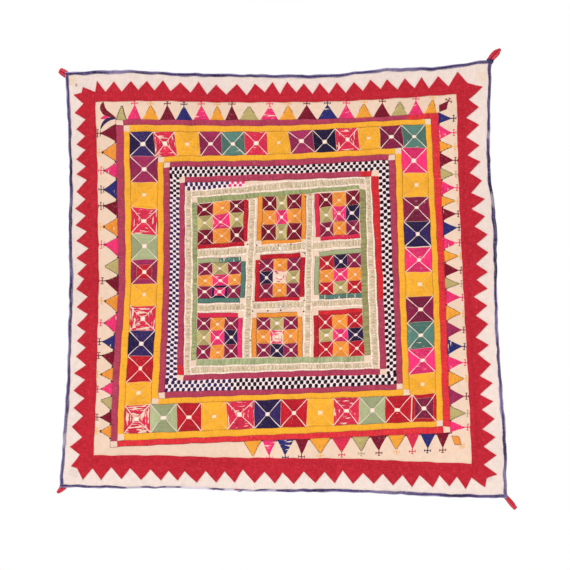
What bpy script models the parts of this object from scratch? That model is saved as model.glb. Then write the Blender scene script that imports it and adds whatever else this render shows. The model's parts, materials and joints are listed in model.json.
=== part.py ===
"""A square embroidered wall hanging: pale ground cloth, embroidered panel, red sawtooth strips,
navy edge binding and four red corner tabs.

The frame: +X is the hanging's right as seen from the front, +Z is up and the front faces -Y.
The origin is the middle of the top edge, where the hanging is held. The cut pieces are laid out
flat first, in coordinates u (right) and v (up). One warp then carries them to the hung shape,
whose edges are drawn in between the pulled corners. The warp runs from ring to ring inwards and,
inside the innermost ring, from lattice line to lattice line.
"""

import math
from bisect import bisect_right
from collections import namedtuple

import bmesh
import bpy
from mathutils import Vector

MM = 0.001

# Layers, in metres. Depth is counted forward from the back of the ground cloth.
GAP = 0.3 * MM
GROUND_THICK = 1.2 * MM
PANEL_THICK = 1.5 * MM
EMBROIDERY_RISE = 0.7 * MM
STRIP_THICK = 1.0 * MM
TAB_THICK = 1.0 * MM
PANEL_BACK = GROUND_THICK + GAP
STRIP_ON_GROUND = GROUND_THICK + GAP
STRIP_ON_PANEL = PANEL_BACK + PANEL_THICK + GAP
LATTICE_RISE_SHARE = 0.45
BORDER_SLOPE = 2.4 * MM

# The panel's rim goes this far under the strips, which step down to the ground just past it.
RIM = 10.0 * MM
STEP_START = 12.0 * MM
STEP_END = 17.0 * MM

# The binding is a folded strip around the ground cloth's cut edge.
BINDING_WIDTH = 6.5 * MM
BINDING_WALL = 0.8 * MM
CLOTH_INSET = 1.9 * MM

# Points nearer than this are one.
WELD = 0.01 * MM

# How finely the pieces are divided.
GROUND_STATIONS = 27
BINDING_STATIONS = 30
TAB_STATIONS = 7
TAB_FOLD_STEPS = 4
SIDE_SAMPLES = 33
BAND_DIVISIONS = 4
BLOCK_DIVISIONS = 3

# Each ring's corners as they hang, in millimetres from the origin, and how far each side bows
# inwards from its straight line, in millimetres at equal steps along it: the top and bottom from
# the left, and the left and right from the bottom.
Ring = namedtuple("Ring", "top_left top_right bottom_right bottom_left top right bottom left")
OUTLINE = Ring(
    top_left=(-534, 5), top_right=(501, 35), bottom_right=(539, -1030), bottom_left=(-547, -1003),
    top=(-1, 9, 16, 21, 24, 14, 13), right=(-3, 2, 6, 5, 2, 12, 8),
    bottom=(1, 4, 2, 2, 5, 3, 0), left=(7, 14, 16, 17, 14, 14, 8),
)
OPENING = Ring(
    top_left=(-460, -68), top_right=(416, -49), bottom_right=(453, -945), bottom_left=(-464, -925),
    top=(1, 7, 10, 11, 7), right=(0, 1, 3, 4, 3), bottom=(3, 1, 3, 5, 2), left=(5, 7, 10, 7, 5),
)
BANDS = Ring((-410, -111), (372, -95), (402, -871), (-423, -905), (7,), (-1,), (0,), (13,))
FRAME = Ring((-243, -264), (209, -248), (231, -715), (-246, -731), (2,), (-1,), (1,), (1,))
FIELD = Ring((-212, -314), (181, -282), (194, -683), (-214, -693), (0,), (0,), (0,), (0,))

# The sunk lattice lines that part the nine blocks, each drawn between two points in millimetres.
LatticeLine = namedtuple("LatticeLine", "start end")
LATTICE_UPRIGHTS = [
    LatticeLine((-103, -689), (-87, -301)),
    LatticeLine((-83, -689), (-68, -301)),
    LatticeLine((44, -687), (53, -294)),
    LatticeLine((64, -687), (70, -291)),
]
LATTICE_LEVELS = [
    LatticeLine((-211, -580), (184, -564)),
    LatticeLine((-211, -558), (184, -543)),
    LatticeLine((-211, -448), (182, -422)),
    LatticeLine((-211, -425), (182, -398)),
]

# The red strips, all in millimetres. The first and last tips lie low_tip and high_tip in from the
# ends of the opening's side. Depths go outwards from the opening, as (at the low end, at the high
# end). The drifts move the teeth right or up, at equal steps along the side.
Strip = namedtuple("Strip", "side teeth low_tip high_tip valley_depths tip_depths drifts")
STRIPS = [
    Strip("top", 22, 5, 0, (22, 22), (49, 50), (-6, -1, 8, -1, -3)),
    Strip("bottom", 20, 23, 15, (32, 32), (62, 62), (1, -2, 2, 8, 10)),
    Strip("left", 23, -29, -17, (28, 27), (54, 54), (20, 17, 16, 10, 6)),
    Strip("right", 22, -26, -13, (31, 25), (58, 58), (0, 0, 1, 1, -7)),
]

# A side strip runs past the opening's corners and carries one more tooth at each end. Its notch
# and apex lie this far out from the opening, and the apex this far beyond the end, in millimetres.
EndTooth = namedtuple("EndTooth", "past_corner notch_depth apex_depth apex_rise")
END_TEETH = {
    ("left", "low"): EndTooth(32, 36, 20, 29),
    ("left", "high"): EndTooth(23, 34, 30, 14),
    ("right", "low"): EndTooth(34, 35, 31, 22),
    ("right", "high"): EndTooth(23, 26, 2, 29),
}

# The corner tabs: root at the cloth's corner, tip, and the widths along it from root to tip. The
# bend is how far the middle bows to its left, going from root to tip. All in millimetres.
Tab = namedtuple("Tab", "corner root tip widths bend")
TABS = [
    Tab("top_left", (-531, -1), (-547, 9), (17, 18, 17, 14), 0),
    Tab("top_right", (499, 33), (522, 61), (15, 17, 16, 7), 2),
    Tab("bottom_left", (-538, -999), (-552, -1016), (17, 15, 12, 8), 1),
    Tab("bottom_right", (533, -1025), (561, -1055), (11, 12, 12, 10), 1),
]
TAB_ROOT_INSIDE = 10.0 * MM
TAB_LAYER_PITCH = 1.8 * MM

# How the cloth stands forward and back of a true plane: gentle waves, whose leans count the waves
# in a metre across and upwards.
Wave = namedtuple("Wave", "height across upwards phase")
WAVES = [
    Wave(2.2 * MM, 1.25, 0.75, 0.6),
    Wave(1.2 * MM, 2.20, -1.40, 2.1),
    Wave(0.7 * MM, 1.10, 3.00, 4.0),
]

ROUGHNESS = 0.85
COLOURS = {
    "ground": (0.86, 0.78, 0.71),
    "panel": (0.88, 0.74, 0.58),
    "sawtooth": (0.50, 0.03, 0.06),
    "binding": (0.06, 0.05, 0.14),
    "tab": (0.45, 0.03, 0.05),
}


def spread(low, high, count):
    """Evenly spaced values from low to high, both included."""
    return [low + (high - low) * index / (count - 1) for index in range(count)]


def smooth_through(values, share):
    """A smooth curve through evenly spaced values."""
    steps = len(values) - 1
    index = min(max(int(share * steps), 0), steps - 1)
    t = share * steps - index
    a = values[max(index - 1, 0)]
    b = values[index]
    c = values[index + 1]
    d = values[min(index + 2, steps)]
    bend = (2 * a - 5 * b + 4 * c - d) * t + (3 * (b - c) + d - a) * t * t
    return b + 0.5 * t * (c - a + bend)


class Side:
    """One side of a ring, from its low or left end. It bows inwards across its run."""

    def __init__(self, start, end, bows, across, inwards):
        self.start = Vector(start) * MM
        self.end = Vector(end) * MM
        self.bows = [0.0, *(bow * MM for bow in bows), 0.0]
        self.inwards = Vector((0.0, 0.0))
        self.inwards[across] = inwards
        places = [self.at(share)[across] for share in spread(0.0, 1.0, SIDE_SAMPLES)]
        self.flat = sum(places) / SIDE_SAMPLES

    def at(self, share):
        """The point this share of the way along."""
        return self.start.lerp(self.end, share) + self.inwards * smooth_through(self.bows, share)


def sides_of(ring):
    """The four sides of a ring by name."""
    return {
        "left": Side(ring.bottom_left, ring.top_left, ring.left, 0, 1),
        "right": Side(ring.bottom_right, ring.top_right, ring.right, 0, -1),
        "bottom": Side(ring.bottom_left, ring.bottom_right, ring.bottom, 1, 1),
        "top": Side(ring.top_left, ring.top_right, ring.top, 1, -1),
    }


# The same rings as the flat pieces know them: a box each, outermost first.
Box = namedtuple("Box", "left right bottom top")
SIDES = [sides_of(ring) for ring in (OUTLINE, OPENING, BANDS, FRAME, FIELD)]
BOXES = [Box(**{name: side.flat for name, side in sides.items()}) for sides in SIDES]
OUTLINE_BOX, OPENING_BOX, BANDS_BOX, FRAME_BOX, FIELD_BOX = BOXES


def crossing(upright, level):
    """Where an upright line crosses a level one."""
    start, run = Vector(upright.start), Vector(upright.end) - Vector(upright.start)
    other, other_run = Vector(level.start), Vector(level.end) - Vector(level.start)
    return (start + run * ((other - start).cross(other_run) / run.cross(other_run))) * MM


UPRIGHTS = [LatticeLine(FIELD.bottom_left, FIELD.top_left), *LATTICE_UPRIGHTS]
UPRIGHTS.append(LatticeLine(FIELD.bottom_right, FIELD.top_right))
LEVELS = [LatticeLine(FIELD.bottom_left, FIELD.bottom_right), *LATTICE_LEVELS]
LEVELS.append(LatticeLine(FIELD.top_left, FIELD.top_right))
UPRIGHT_FLATS = [(line.start[0] + line.end[0]) / 2 * MM for line in UPRIGHTS]
LEVEL_FLATS = [(line.start[1] + line.end[1]) / 2 * MM for line in LEVELS]
CROSSINGS = [[crossing(upright, level) for upright in UPRIGHTS] for level in LEVELS]


def cell_of(flats, place):
    """Which gap between flat places this one falls in, and its share of the way across it."""
    index = min(max(bisect_right(flats, place) - 1, 0), len(flats) - 2)
    return index, (place - flats[index]) / (flats[index + 1] - flats[index])


def lattice_point(u, v):
    """A point inside the innermost ring, placed between the four nearest crossings."""
    column, across = cell_of(UPRIGHT_FLATS, u)
    row, upwards = cell_of(LEVEL_FLATS, v)
    low = CROSSINGS[row][column].lerp(CROSSINGS[row][column + 1], across)
    high = CROSSINGS[row + 1][column].lerp(CROSSINGS[row + 1][column + 1], across)
    return low.lerp(high, upwards)


def rings_in(name, place):
    """How many rings in from the outline a place lies, counted on the side of this name."""
    flats = [getattr(box, name) for box in BOXES]
    for index, (outer, inner) in enumerate(zip(flats, flats[1:])):
        share = (place - outer) / (inner - outer)
        if share < 1:
            return index + max(share, 0.0)
    return len(flats) - 1


def warp(u, v):
    """Where the point (u, v) of the flat pieces hangs, as (x, z)."""
    depths = {name: rings_in(name, u) for name in ("left", "right")}
    depths.update((name, rings_in(name, v)) for name in ("bottom", "top"))
    name = min(depths, key=depths.get)
    ring = int(depths[name])
    if ring == len(BOXES) - 1:
        return lattice_point(u, v)
    inwards = depths[name] - ring
    box = Box(*(a + (b - a) * inwards for a, b in zip(BOXES[ring], BOXES[ring + 1])))
    if name in ("left", "right"):
        share = (v - box.bottom) / (box.top - box.bottom)
    else:
        share = (u - box.left) / (box.right - box.left)
    return SIDES[ring][name].at(share).lerp(SIDES[ring + 1][name].at(share), inwards)


def drape(x, z):
    """How far back of the true plane the hung cloth stands at this place."""
    return sum(
        wave.height * math.sin(math.tau * (x * wave.across + z * wave.upwards) + wave.phase)
        for wave in WAVES
    )


def hung_point(u, v, depth):
    """The point (u, v) of the flat pieces, `depth` in front of the ground cloth's back."""
    x, z = warp(u, v)
    return Vector((x, drape(x, z) - depth, z))


def side_point(box, side, along, outwards, depth):
    """A point `along` one side of a flat box, this far outwards from it."""
    if side == "top":
        return hung_point(along, box.top + outwards, depth)
    if side == "bottom":
        return hung_point(along, box.bottom - outwards, depth)
    if side == "left":
        return hung_point(box.left - outwards, along, depth)
    return hung_point(box.right + outwards, along, depth)


def material(name):
    """A plain cloth material of the piece's colour."""
    made = bpy.data.materials.new(name)
    made.use_nodes = True
    shader = made.node_tree.nodes["Principled BSDF"]
    shader.inputs["Base Color"].default_value = (*COLOURS[name], 1.0)
    shader.inputs["Roughness"].default_value = ROUGHNESS
    shader.inputs["Metallic"].default_value = 0.0
    made.diffuse_color = (*COLOURS[name], 1.0)
    return made


def add_object(name, mesh, slot):
    """The mesh as a named part with its own material."""
    mesh.materials.append(material(slot))
    obj = bpy.data.objects.new(name, mesh)
    PARTS.objects.link(obj)
    obj.parent = HOLDER
    return obj


def grid_mesh(name, columns, rows, place, weight=None):
    """A grid of cloth whose point (column, row) is put at place(column, row). A weight, where
    one is given, goes into the mesh's first vertex group."""
    bm = bmesh.new()
    bmesh.ops.create_grid(bm, x_segments=columns - 1, y_segments=rows - 1, size=1.0)
    groups = bm.verts.layers.deform.verify()
    for vert in bm.verts:
        column = round((vert.co.x + 1) / 2 * (columns - 1))
        row = round((vert.co.y + 1) / 2 * (rows - 1))
        vert.co = place(column, row)
        if weight:
            vert[groups][0] = weight(column, row)
    bmesh.ops.remove_doubles(bm, verts=bm.verts, dist=WELD)
    mesh = bpy.data.meshes.new(name)
    bm.to_mesh(mesh)
    bm.free()
    return mesh


def turn_to_front(mesh, is_folded=False):
    """Makes an open sheet's faces face forwards, to -Y. A folded one's face away from the fold."""
    bm = bmesh.new()
    bm.from_mesh(mesh)
    bmesh.ops.recalc_face_normals(bm, faces=bm.faces)
    if is_folded:
        foremost = min(bm.faces, key=lambda face: face.calc_center_median().y)
        facing = foremost.normal.y
    else:
        facing = sum(face.normal.y * face.calc_area() for face in bm.faces)
    if facing > 0:
        bmesh.ops.reverse_faces(bm, faces=bm.faces)
    bm.to_mesh(mesh)
    bm.free()


def thicken(obj, thickness, offset=1.0):
    """Gives an open sheet its thickness, forwards of the sheet with an offset of 1."""
    solidify = obj.modifiers.new("thickness", "SOLIDIFY")
    solidify.thickness = thickness
    solidify.offset = offset
    solidify.use_even_offset = True
    return solidify


def build_ground_cloth():
    """The pale square that carries everything, a little inside the binding's fold."""
    box = OUTLINE_BOX
    us = spread(box.left + CLOTH_INSET, box.right - CLOTH_INSET, GROUND_STATIONS)
    vs = spread(box.bottom + CLOTH_INSET, box.top - CLOTH_INSET, GROUND_STATIONS)
    mesh = grid_mesh(
        "ground_cloth", len(us), len(vs), lambda i, j: hung_point(us[i], vs[j], 0.0)
    )
    thicken(add_object("ground_cloth", mesh, "ground"), GROUND_THICK)


def panel_stations(opening, bands, frame, lattice_flats):
    """Flat places of the panel's grid lines along one axis: a pair at each border of the
    embroidery, and some between them. The first three arguments are (low, high) pairs."""
    stations = [opening[0] - RIM, *opening, opening[1] + RIM]
    for border in (*bands, *frame, *lattice_flats):
        stations += [border - BORDER_SLOPE / 2, border + BORDER_SLOPE / 2]
    for start, end in zip((bands[0], frame[1]), (frame[0], bands[1])):
        stations += spread(start, end, BAND_DIVISIONS + 1)[1:-1]
    for start, end in zip(lattice_flats[::2], lattice_flats[1::2]):
        stations += spread(start, end, BLOCK_DIVISIONS + 1)[1:-1]
    return sorted(stations)


def in_box(box, u, v):
    return box.left < u < box.right and box.bottom < v < box.top


def embroidery_rise(u, v):
    """How proud the embroidery stands: 1 on the bands and blocks, 0 on bare cloth."""
    if not in_box(BANDS_BOX, u, v):
        return 0.0
    if not in_box(FRAME_BOX, u, v):
        return 1.0
    in_block = all(
        cell_of(flats, place)[0] % 2 == 0
        for flats, place in ((UPRIGHT_FLATS, u), (LEVEL_FLATS, v))
    )
    return 1.0 if in_block and in_box(FIELD_BOX, u, v) else LATTICE_RISE_SHARE


def build_embroidered_panel():
    """The cream centre square: its bands and nine blocks stand proud, its lattice lies lower."""
    nested = (OPENING_BOX, BANDS_BOX, FRAME_BOX)
    us = panel_stations(*(box[0:2] for box in nested), UPRIGHT_FLATS)
    vs = panel_stations(*(box[2:4] for box in nested), LEVEL_FLATS)
    full = PANEL_THICK + EMBROIDERY_RISE

    def thickness_share(column, row):
        return (PANEL_THICK + EMBROIDERY_RISE * embroidery_rise(us[column], vs[row])) / full

    def place(column, row):
        return hung_point(us[column], vs[row], PANEL_BACK)

    mesh = grid_mesh("embroidered_panel", len(us), len(vs), place, thickness_share)
    obj = add_object("embroidered_panel", mesh, "panel")
    obj.vertex_groups.new(name="rise")
    solidify = thicken(obj, full)
    solidify.use_even_offset = False
    solidify.vertex_group = "rise"


def strip_columns(strip, low, high):
    """The strip's columns as (place along, outer depth): its ends, and its tips and valleys."""
    low_end = END_TEETH.get((strip.side, "low"))
    high_end = END_TEETH.get((strip.side, "high"))
    places = spread(low + strip.low_tip * MM, high - strip.high_tip * MM, 2 * strip.teeth - 1)
    drifts = [0.0, *(drift * MM for drift in strip.drifts), 0.0]

    def depth(pair, index):
        return (pair[0] + (pair[1] - pair[0]) * index / (len(places) - 1)) * MM

    columns = []
    for index, place in enumerate(places):
        pair = strip.valley_depths if index % 2 else strip.tip_depths
        shifted = place + smooth_through(drifts, index / (len(places) - 1))
        columns.append((shifted, depth(pair, index)))
    if low_end:
        columns.insert(0, (low - low_end.past_corner * MM, low_end.notch_depth * MM))
    else:
        columns.insert(0, (low + GAP, strip.valley_depths[0] * MM))
    if high_end:
        columns.append((high + high_end.past_corner * MM, high_end.notch_depth * MM))
    elif strip.high_tip:
        columns.append((high - GAP, strip.valley_depths[1] * MM))
    else:
        columns[-1] = (high - GAP, columns[-1][1])
    return columns


def build_strip(strip):
    """One red strip: a straight inner edge, and teeth whose valleys and tips alternate. An end
    tooth takes one more column, whose middle rows meet in the tooth's apex."""
    runs_across = strip.side in ("top", "bottom")
    low, high = OPENING_BOX[0:2] if runs_across else OPENING_BOX[2:4]
    columns = strip_columns(strip, low, high)
    inner_rows = (0.0, STEP_START, STEP_END, min(strip.valley_depths) * MM)
    ends = {}
    if not runs_across:
        low_end, high_end = (END_TEETH[strip.side, end] for end in ("low", "high"))
        ends = {0: (low_end, -1), len(columns) + 1: (high_end, 1)}
        columns = [columns[0], *columns, columns[-1]]

    def place(column, row):
        along, outer = columns[column]
        outwards = (*inner_rows, outer)[row]
        layer = STRIP_ON_PANEL if outwards <= STEP_START else STRIP_ON_GROUND
        if column in ends and row in (1, 2):
            tooth, direction = ends[column]
            along += direction * tooth.apex_rise * MM
            outwards = tooth.apex_depth * MM
            layer = STRIP_ON_GROUND
        return side_point(OPENING_BOX, strip.side, along, outwards, layer)

    name = "sawtooth_" + strip.side
    mesh = grid_mesh(name, len(columns), len(inner_rows) + 1, place)
    turn_to_front(mesh)
    thicken(add_object(name, mesh, "sawtooth"), STRIP_THICK)


def build_binding(side):
    """The folded strip around one edge: its inner surface is swept, then thickened outwards."""
    box = OUTLINE_BOX
    front, back = GROUND_THICK + GAP, -GAP
    shoulder = 2 * BINDING_WALL
    # The fold's cross-section, as inward distance and depth, from the front hem to the back one.
    profile = [
        (BINDING_WIDTH, front),
        (shoulder, front),
        (BINDING_WALL, (front + back) / 2),
        (shoulder, back),
        (BINDING_WIDTH, back),
    ]
    corner = BINDING_WIDTH + GAP
    if side in ("top", "bottom"):
        alongs = spread(box.left, box.right, BINDING_STATIONS)
    else:
        alongs = spread(box.bottom + corner, box.top - corner, BINDING_STATIONS)

    def place(column, row):
        inwards, depth = profile[row]
        return side_point(box, side, alongs[column], -inwards, depth)

    name = "edge_binding_" + side
    mesh = grid_mesh(name, BINDING_STATIONS, len(profile), place)
    turn_to_front(mesh, is_folded=True)
    thicken(add_object(name, mesh, "binding"), BINDING_WALL)


def tab_stations():
    """The folded tab's length, as (share of the length, depth, distance beyond the tip): out
    along the front layer, round the fold and back."""
    nearest = -GAP - BINDING_WALL - GAP - TAB_THICK / 2
    radius = TAB_LAYER_PITCH / 2
    shares = spread(0.0, 1.0, TAB_STATIONS)
    stations = [(share, nearest, 0.0) for share in shares]
    for angle in spread(0.0, math.pi, TAB_FOLD_STEPS + 1)[1:-1]:
        depth = nearest - radius * (1 - math.cos(angle))
        stations.append((1.0, depth, radius * math.sin(angle)))
    stations += [(share, nearest - TAB_LAYER_PITCH, 0.0) for share in reversed(shares)]
    return stations


def build_tab(tab):
    """A folded tab behind a corner, narrowing and bending from its root to its tip."""
    root, tip = Vector(tab.root) * MM, Vector(tab.tip) * MM
    heading = (tip - root).normalized()
    across = Vector((-heading.y, heading.x))
    root = root - heading * TAB_ROOT_INSIDE
    widths = [width * MM for width in (tab.widths[0], *tab.widths)]
    stations = tab_stations()

    def place(column, row):
        share, depth, beyond = stations[row]
        bow = tab.bend * MM * math.sin(math.pi * share)
        x, z = (
            root.lerp(tip, share)
            + heading * beyond
            + across * (bow + smooth_through(widths, share) * (column - 1) / 2)
        )
        return Vector((x, drape(x, z) - depth, z))

    name = "corner_tab_" + tab.corner
    mesh = grid_mesh(name, 3, len(stations), place)
    turn_to_front(mesh, is_folded=True)
    thicken(add_object(name, mesh, "tab"), TAB_THICK, offset=0.0)


def clear_scene():
    """Removes whatever the file already holds."""
    for obj in list(bpy.data.objects):
        bpy.data.objects.remove(obj, do_unlink=True)


clear_scene()
PARTS = bpy.data.collections.new("mirror_work_tapestry")
bpy.context.scene.collection.children.link(PARTS)
HOLDER = bpy.data.objects.new("top_edge_holder", None)
PARTS.objects.link(HOLDER)
build_ground_cloth()
build_embroidered_panel()
for strip in STRIPS:
    build_strip(strip)
for side in Box._fields:
    build_binding(side)
for tab in TABS:
    build_tab(tab)
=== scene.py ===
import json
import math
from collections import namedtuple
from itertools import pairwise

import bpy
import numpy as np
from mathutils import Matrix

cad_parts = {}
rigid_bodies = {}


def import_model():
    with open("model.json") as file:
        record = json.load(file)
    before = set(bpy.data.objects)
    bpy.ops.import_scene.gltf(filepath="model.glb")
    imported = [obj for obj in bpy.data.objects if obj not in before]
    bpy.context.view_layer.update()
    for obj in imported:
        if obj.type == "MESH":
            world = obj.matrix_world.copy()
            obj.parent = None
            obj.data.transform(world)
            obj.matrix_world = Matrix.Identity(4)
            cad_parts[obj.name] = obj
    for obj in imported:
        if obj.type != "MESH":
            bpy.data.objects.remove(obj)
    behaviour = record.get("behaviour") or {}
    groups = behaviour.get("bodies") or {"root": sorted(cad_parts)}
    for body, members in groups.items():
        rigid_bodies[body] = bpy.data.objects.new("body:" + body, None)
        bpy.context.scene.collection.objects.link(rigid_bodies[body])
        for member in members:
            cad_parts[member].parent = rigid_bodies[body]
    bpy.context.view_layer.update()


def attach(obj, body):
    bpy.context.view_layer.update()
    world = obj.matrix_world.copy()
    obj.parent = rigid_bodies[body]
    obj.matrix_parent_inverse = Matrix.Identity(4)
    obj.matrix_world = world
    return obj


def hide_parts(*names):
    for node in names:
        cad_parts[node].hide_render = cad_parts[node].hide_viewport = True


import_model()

# %% [markdown]
# # A square embroidered hanging from western India
#
# This lesson dresses the CAD model of a square wall hanging. The real one is a cotton square made
# for the wall above a doorway or a chest: bands, squares and small triangles of silk floss on a
# cream cloth, a red sawtooth border cut from cotton, a navy binding round the edge and a folded red
# tab at each corner.
#
# Everything is laid out flat first, as the maker would mark it on the cloth. One function then
# carries flat places to where they hang. The pulled corners draw the edges in, so no line of the
# real thing is quite straight, and one function keeps all the layers bending together.

# %% [markdown]
# ## Sizes
#
# The square is 3 ft 5 in on a side, which is 429 pixels of the photograph. So a place that was read
# off the picture turns into metres with one number. The origin is the middle of the top edge.

# %%
MM = 0.001
SQUARE_SIDE = 1.0414
SQUARE_SIDE_PX = 429
PIXEL = SQUARE_SIDE / SQUARE_SIDE_PX
MIDDLE_PX = 285
TOP_EDGE_PX = 74


def across(px):
    """A pixel column of the photograph as metres to the right of the middle."""
    return (np.asarray(px, float) - MIDDLE_PX) * PIXEL


def upwards(py):
    """A pixel row of the photograph as metres above the top edge."""
    return (TOP_EDGE_PX - np.asarray(py, float)) * PIXEL


def spot(px, py):
    """A pixel of the photograph as its (x, z) in metres."""
    return np.array([across(px), upwards(py)])


print("one pixel is", round(PIXEL * 1000, 4), "mm")

# %% [markdown]
# ## Camera
#
# The photograph looks straight at the cloth from well back, so that the square shows no
# perspective. An 85 mm lens at a little over three metres does the same. An operator acts on all
# that is selected, so a helper clears the selection before it adds anything.

# %%
LENS_MM = 85.0
SENSOR_MM = 36.0
PICTURE_PX = 570


def added(operator, **settings):
    """What an operator adds, with nothing else selected."""
    bpy.ops.object.select_all(action="DESELECT")
    operator(**settings)
    return bpy.context.object


distance = PICTURE_PX * PIXEL * LENS_MM / SENSOR_MM
camera = added(
    bpy.ops.object.camera_add,
    location=(0.0, -distance, float(upwards(PICTURE_PX / 2))),
    rotation=(math.radians(90), 0.0, 0.0),
)
camera.name = "camera"
camera.data.lens = LENS_MM
camera.data.sensor_width = SENSOR_MM
bpy.context.scene.camera = camera
bpy.context.scene.view_settings.view_transform = "Standard"
print("the camera stands", round(distance, 3), "m away")

# %% [markdown]
# ## The rings
#
# The design is a nest of square rings. Each is written as its four corners where they hang, in
# millimetres, and how far each side bows inwards between them. The top and bottom bows run from the
# left and the left and right ones from the bottom. Three helpers then spare the rest of the lesson
# from treating the level sides and the upright ones apart.

# %%
Ring = namedtuple("Ring", "name top_left top_right bottom_right bottom_left top right bottom left")
RINGS = [
    Ring("outline", (-534, 5), (501, 35), (539, -1030), (-547, -1003), (-1, 9, 16, 21, 24, 14, 13),
         (-3, 2, 6, 5, 2, 12, 8), (1, 4, 2, 2, 5, 3, 0), (7, 14, 16, 17, 14, 14, 8)),
    Ring("opening", (-460, -68), (416, -49), (453, -945), (-464, -925), (1, 7, 10, 11, 7),
         (0, 1, 3, 4, 3), (3, 1, 3, 5, 2), (5, 7, 10, 7, 5)),
    Ring("first_band", (-410, -111), (372, -95), (402, -871), (-423, -905), (5, 8, 8), (-1,), (0,),
         (3, 12, 6)),
    Ring("yellow", (-391, -124), (354, -109), (384, -855), (-407, -890), (9,), (-3,), (-2,),
         (3, 11, 6)),
    Ring("squares", (-377, -141), (341, -122), (368, -842), (-391, -873), (8,), (-3,), (-1,),
         (5, 10, 7)),
    Ring("inner_yellow", (-308, -201), (283, -179), (302, -780), (-325, -802), (5,), (1,), (1,),
         (6,)),
    Ring("rose", (-294, -214), (268, -194), (286, -765), (-307, -787), (5,), (1,), (-1,), (5,)),
    Ring("checks", (-279, -226), (251, -209), (271, -752), (-291, -771), (6,), (0,), (-3,), (5,)),
    Ring("inner_rose", (-256, -251), (227, -234), (247, -729), (-263, -745), (0,), (0,), (1,),
         (2,)),
    Ring("silk", (-243, -264), (209, -248), (231, -715), (-246, -731), (2,), (-1,), (1,), (1,)),
    Ring("green", (-225, -301), (196, -269), (208, -697), (-228, -709), (0,), (2,), (0,), (3,)),
    Ring("field", (-212, -314), (181, -279), (191, -683), (-214, -693), (0,), (2,), (0,), (0,)),
]


SIDE_STATIONS = np.linspace(0.0, 1.0, 33)


def smooth_through(values, shares):
    """A smooth curve through evenly spaced values, read at these shares of its length."""
    values = np.asarray(values, float)
    steps = len(values) - 1
    index = np.clip((shares * steps).astype(int), 0, steps - 1)
    t = shares * steps - index
    a = values[np.maximum(index - 1, 0)]
    b = values[index]
    c = values[index + 1]
    d = values[np.minimum(index + 2, steps)]
    bend = (2 * a - 5 * b + 4 * c - d) * t + (3 * (b - c) + d - a) * t * t
    return b + 0.5 * t * (c - a + bend)


class Side:
    """One side of a ring, from its low or left end. It bows inwards across its run."""

    def __init__(self, start, end, bows, axis, inwards):
        self.start = np.array(start) * MM
        self.end = np.array(end) * MM
        self.bows = np.array([0.0, *bows, 0.0]) * MM
        self.axis = axis
        self.inwards = np.zeros(2)
        self.inwards[axis] = inwards
        self.flat = self.at(SIDE_STATIONS)[:, axis].mean()

    def at(self, shares):
        """The points these shares of the way along."""
        shares = np.asarray(shares, float)[..., None]
        bow = smooth_through(self.bows, shares)
        return self.start + (self.end - self.start) * shares + self.inwards * bow

    def share_of(self, place):
        """How far along the side a place is, counted on the side's own direction."""
        run = 1 - self.axis
        return (place - self.start[run]) / (self.end[run] - self.start[run])


def sides_of(ring):
    """The four sides of a ring by name."""
    return {
        "left": Side(ring.bottom_left, ring.top_left, ring.left, 0, 1),
        "right": Side(ring.bottom_right, ring.top_right, ring.right, 0, -1),
        "bottom": Side(ring.bottom_left, ring.bottom_right, ring.bottom, 1, 1),
        "top": Side(ring.top_left, ring.top_right, ring.top, 1, -1),
    }


def is_level(side):
    """Whether a side runs across, as the top and the bottom do."""
    return side in ("top", "bottom")


def run_of(box, side):
    """Where one side of a box starts and ends, from the left or from the bottom."""
    return (box.left, box.right) if is_level(side) else (box.bottom, box.top)


def placed(side, along, over):
    """The (u, v) of a place this far along a side's direction and this far across it."""
    return (along, over) if is_level(side) else (over, along)


Box = namedtuple("Box", "left right bottom top")
SIDE_NAMES = Box._fields
SIDES = [sides_of(ring) for ring in RINGS]
BOXES = [Box(*(sides[name].flat for name in SIDE_NAMES)) for sides in SIDES]
BOX = {ring.name: box for ring, box in zip(RINGS, BOXES)}
RING_SIDES = {ring.name: sides for ring, sides in zip(RINGS, SIDES)}
outline = BOX["outline"]
print("laid flat, the square is", round(outline.right - outline.left, 3), "by",
      round(outline.top - outline.bottom, 3), "m")

# %% [markdown]
# ## The lattice
#
# Inside the innermost ring nine blocks stand apart, with pale lattice bands between them. Four
# upright and four level lines part them, and on the real cloth they lean a little.

# %%
Line = namedtuple("Line", "start end")
FIELD = RINGS[-1]
UPRIGHTS = [
    Line(FIELD.bottom_left, FIELD.top_left),
    Line((-103, -689), (-87, -301)),
    Line((-83, -689), (-68, -301)),
    Line((44, -687), (53, -294)),
    Line((64, -687), (70, -291)),
    Line(FIELD.bottom_right, FIELD.top_right),
]
LEVELS = [
    Line(FIELD.bottom_left, FIELD.bottom_right),
    Line((-211, -580), (184, -564)),
    Line((-211, -558), (184, -543)),
    Line((-211, -448), (182, -422)),
    Line((-211, -425), (182, -398)),
    Line(FIELD.top_left, FIELD.top_right),
]


def crossing(upright, level):
    """Where an upright line crosses a level one, in metres."""
    start, other = np.array(upright.start, float), np.array(level.start, float)
    run, other_run = upright.end - start, level.end - other
    gap = other - start
    share = (gap[0] * other_run[1] - gap[1] * other_run[0]) / (
        run[0] * other_run[1] - run[1] * other_run[0]
    )
    return (start + run * share) * MM


UPRIGHT_FLATS = np.array([(line.start[0] + line.end[0]) / 2 * MM for line in UPRIGHTS])
LEVEL_FLATS = np.array([(line.start[1] + line.end[1]) / 2 * MM for line in LEVELS])
CROSSINGS = np.array([[crossing(upright, level) for upright in UPRIGHTS] for level in LEVELS])


def cell_of(flats, places):
    """Which gap between flat lines each place falls in, and its share of the way across it."""
    index = np.clip(np.searchsorted(flats, places, side="right") - 1, 0, len(flats) - 2)
    return index, (places - flats[index]) / (flats[index + 1] - flats[index])


def mixed(a, b, share):
    """The point or value that lies this share of the way from a to b."""
    return a + (b - a) * share


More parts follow.
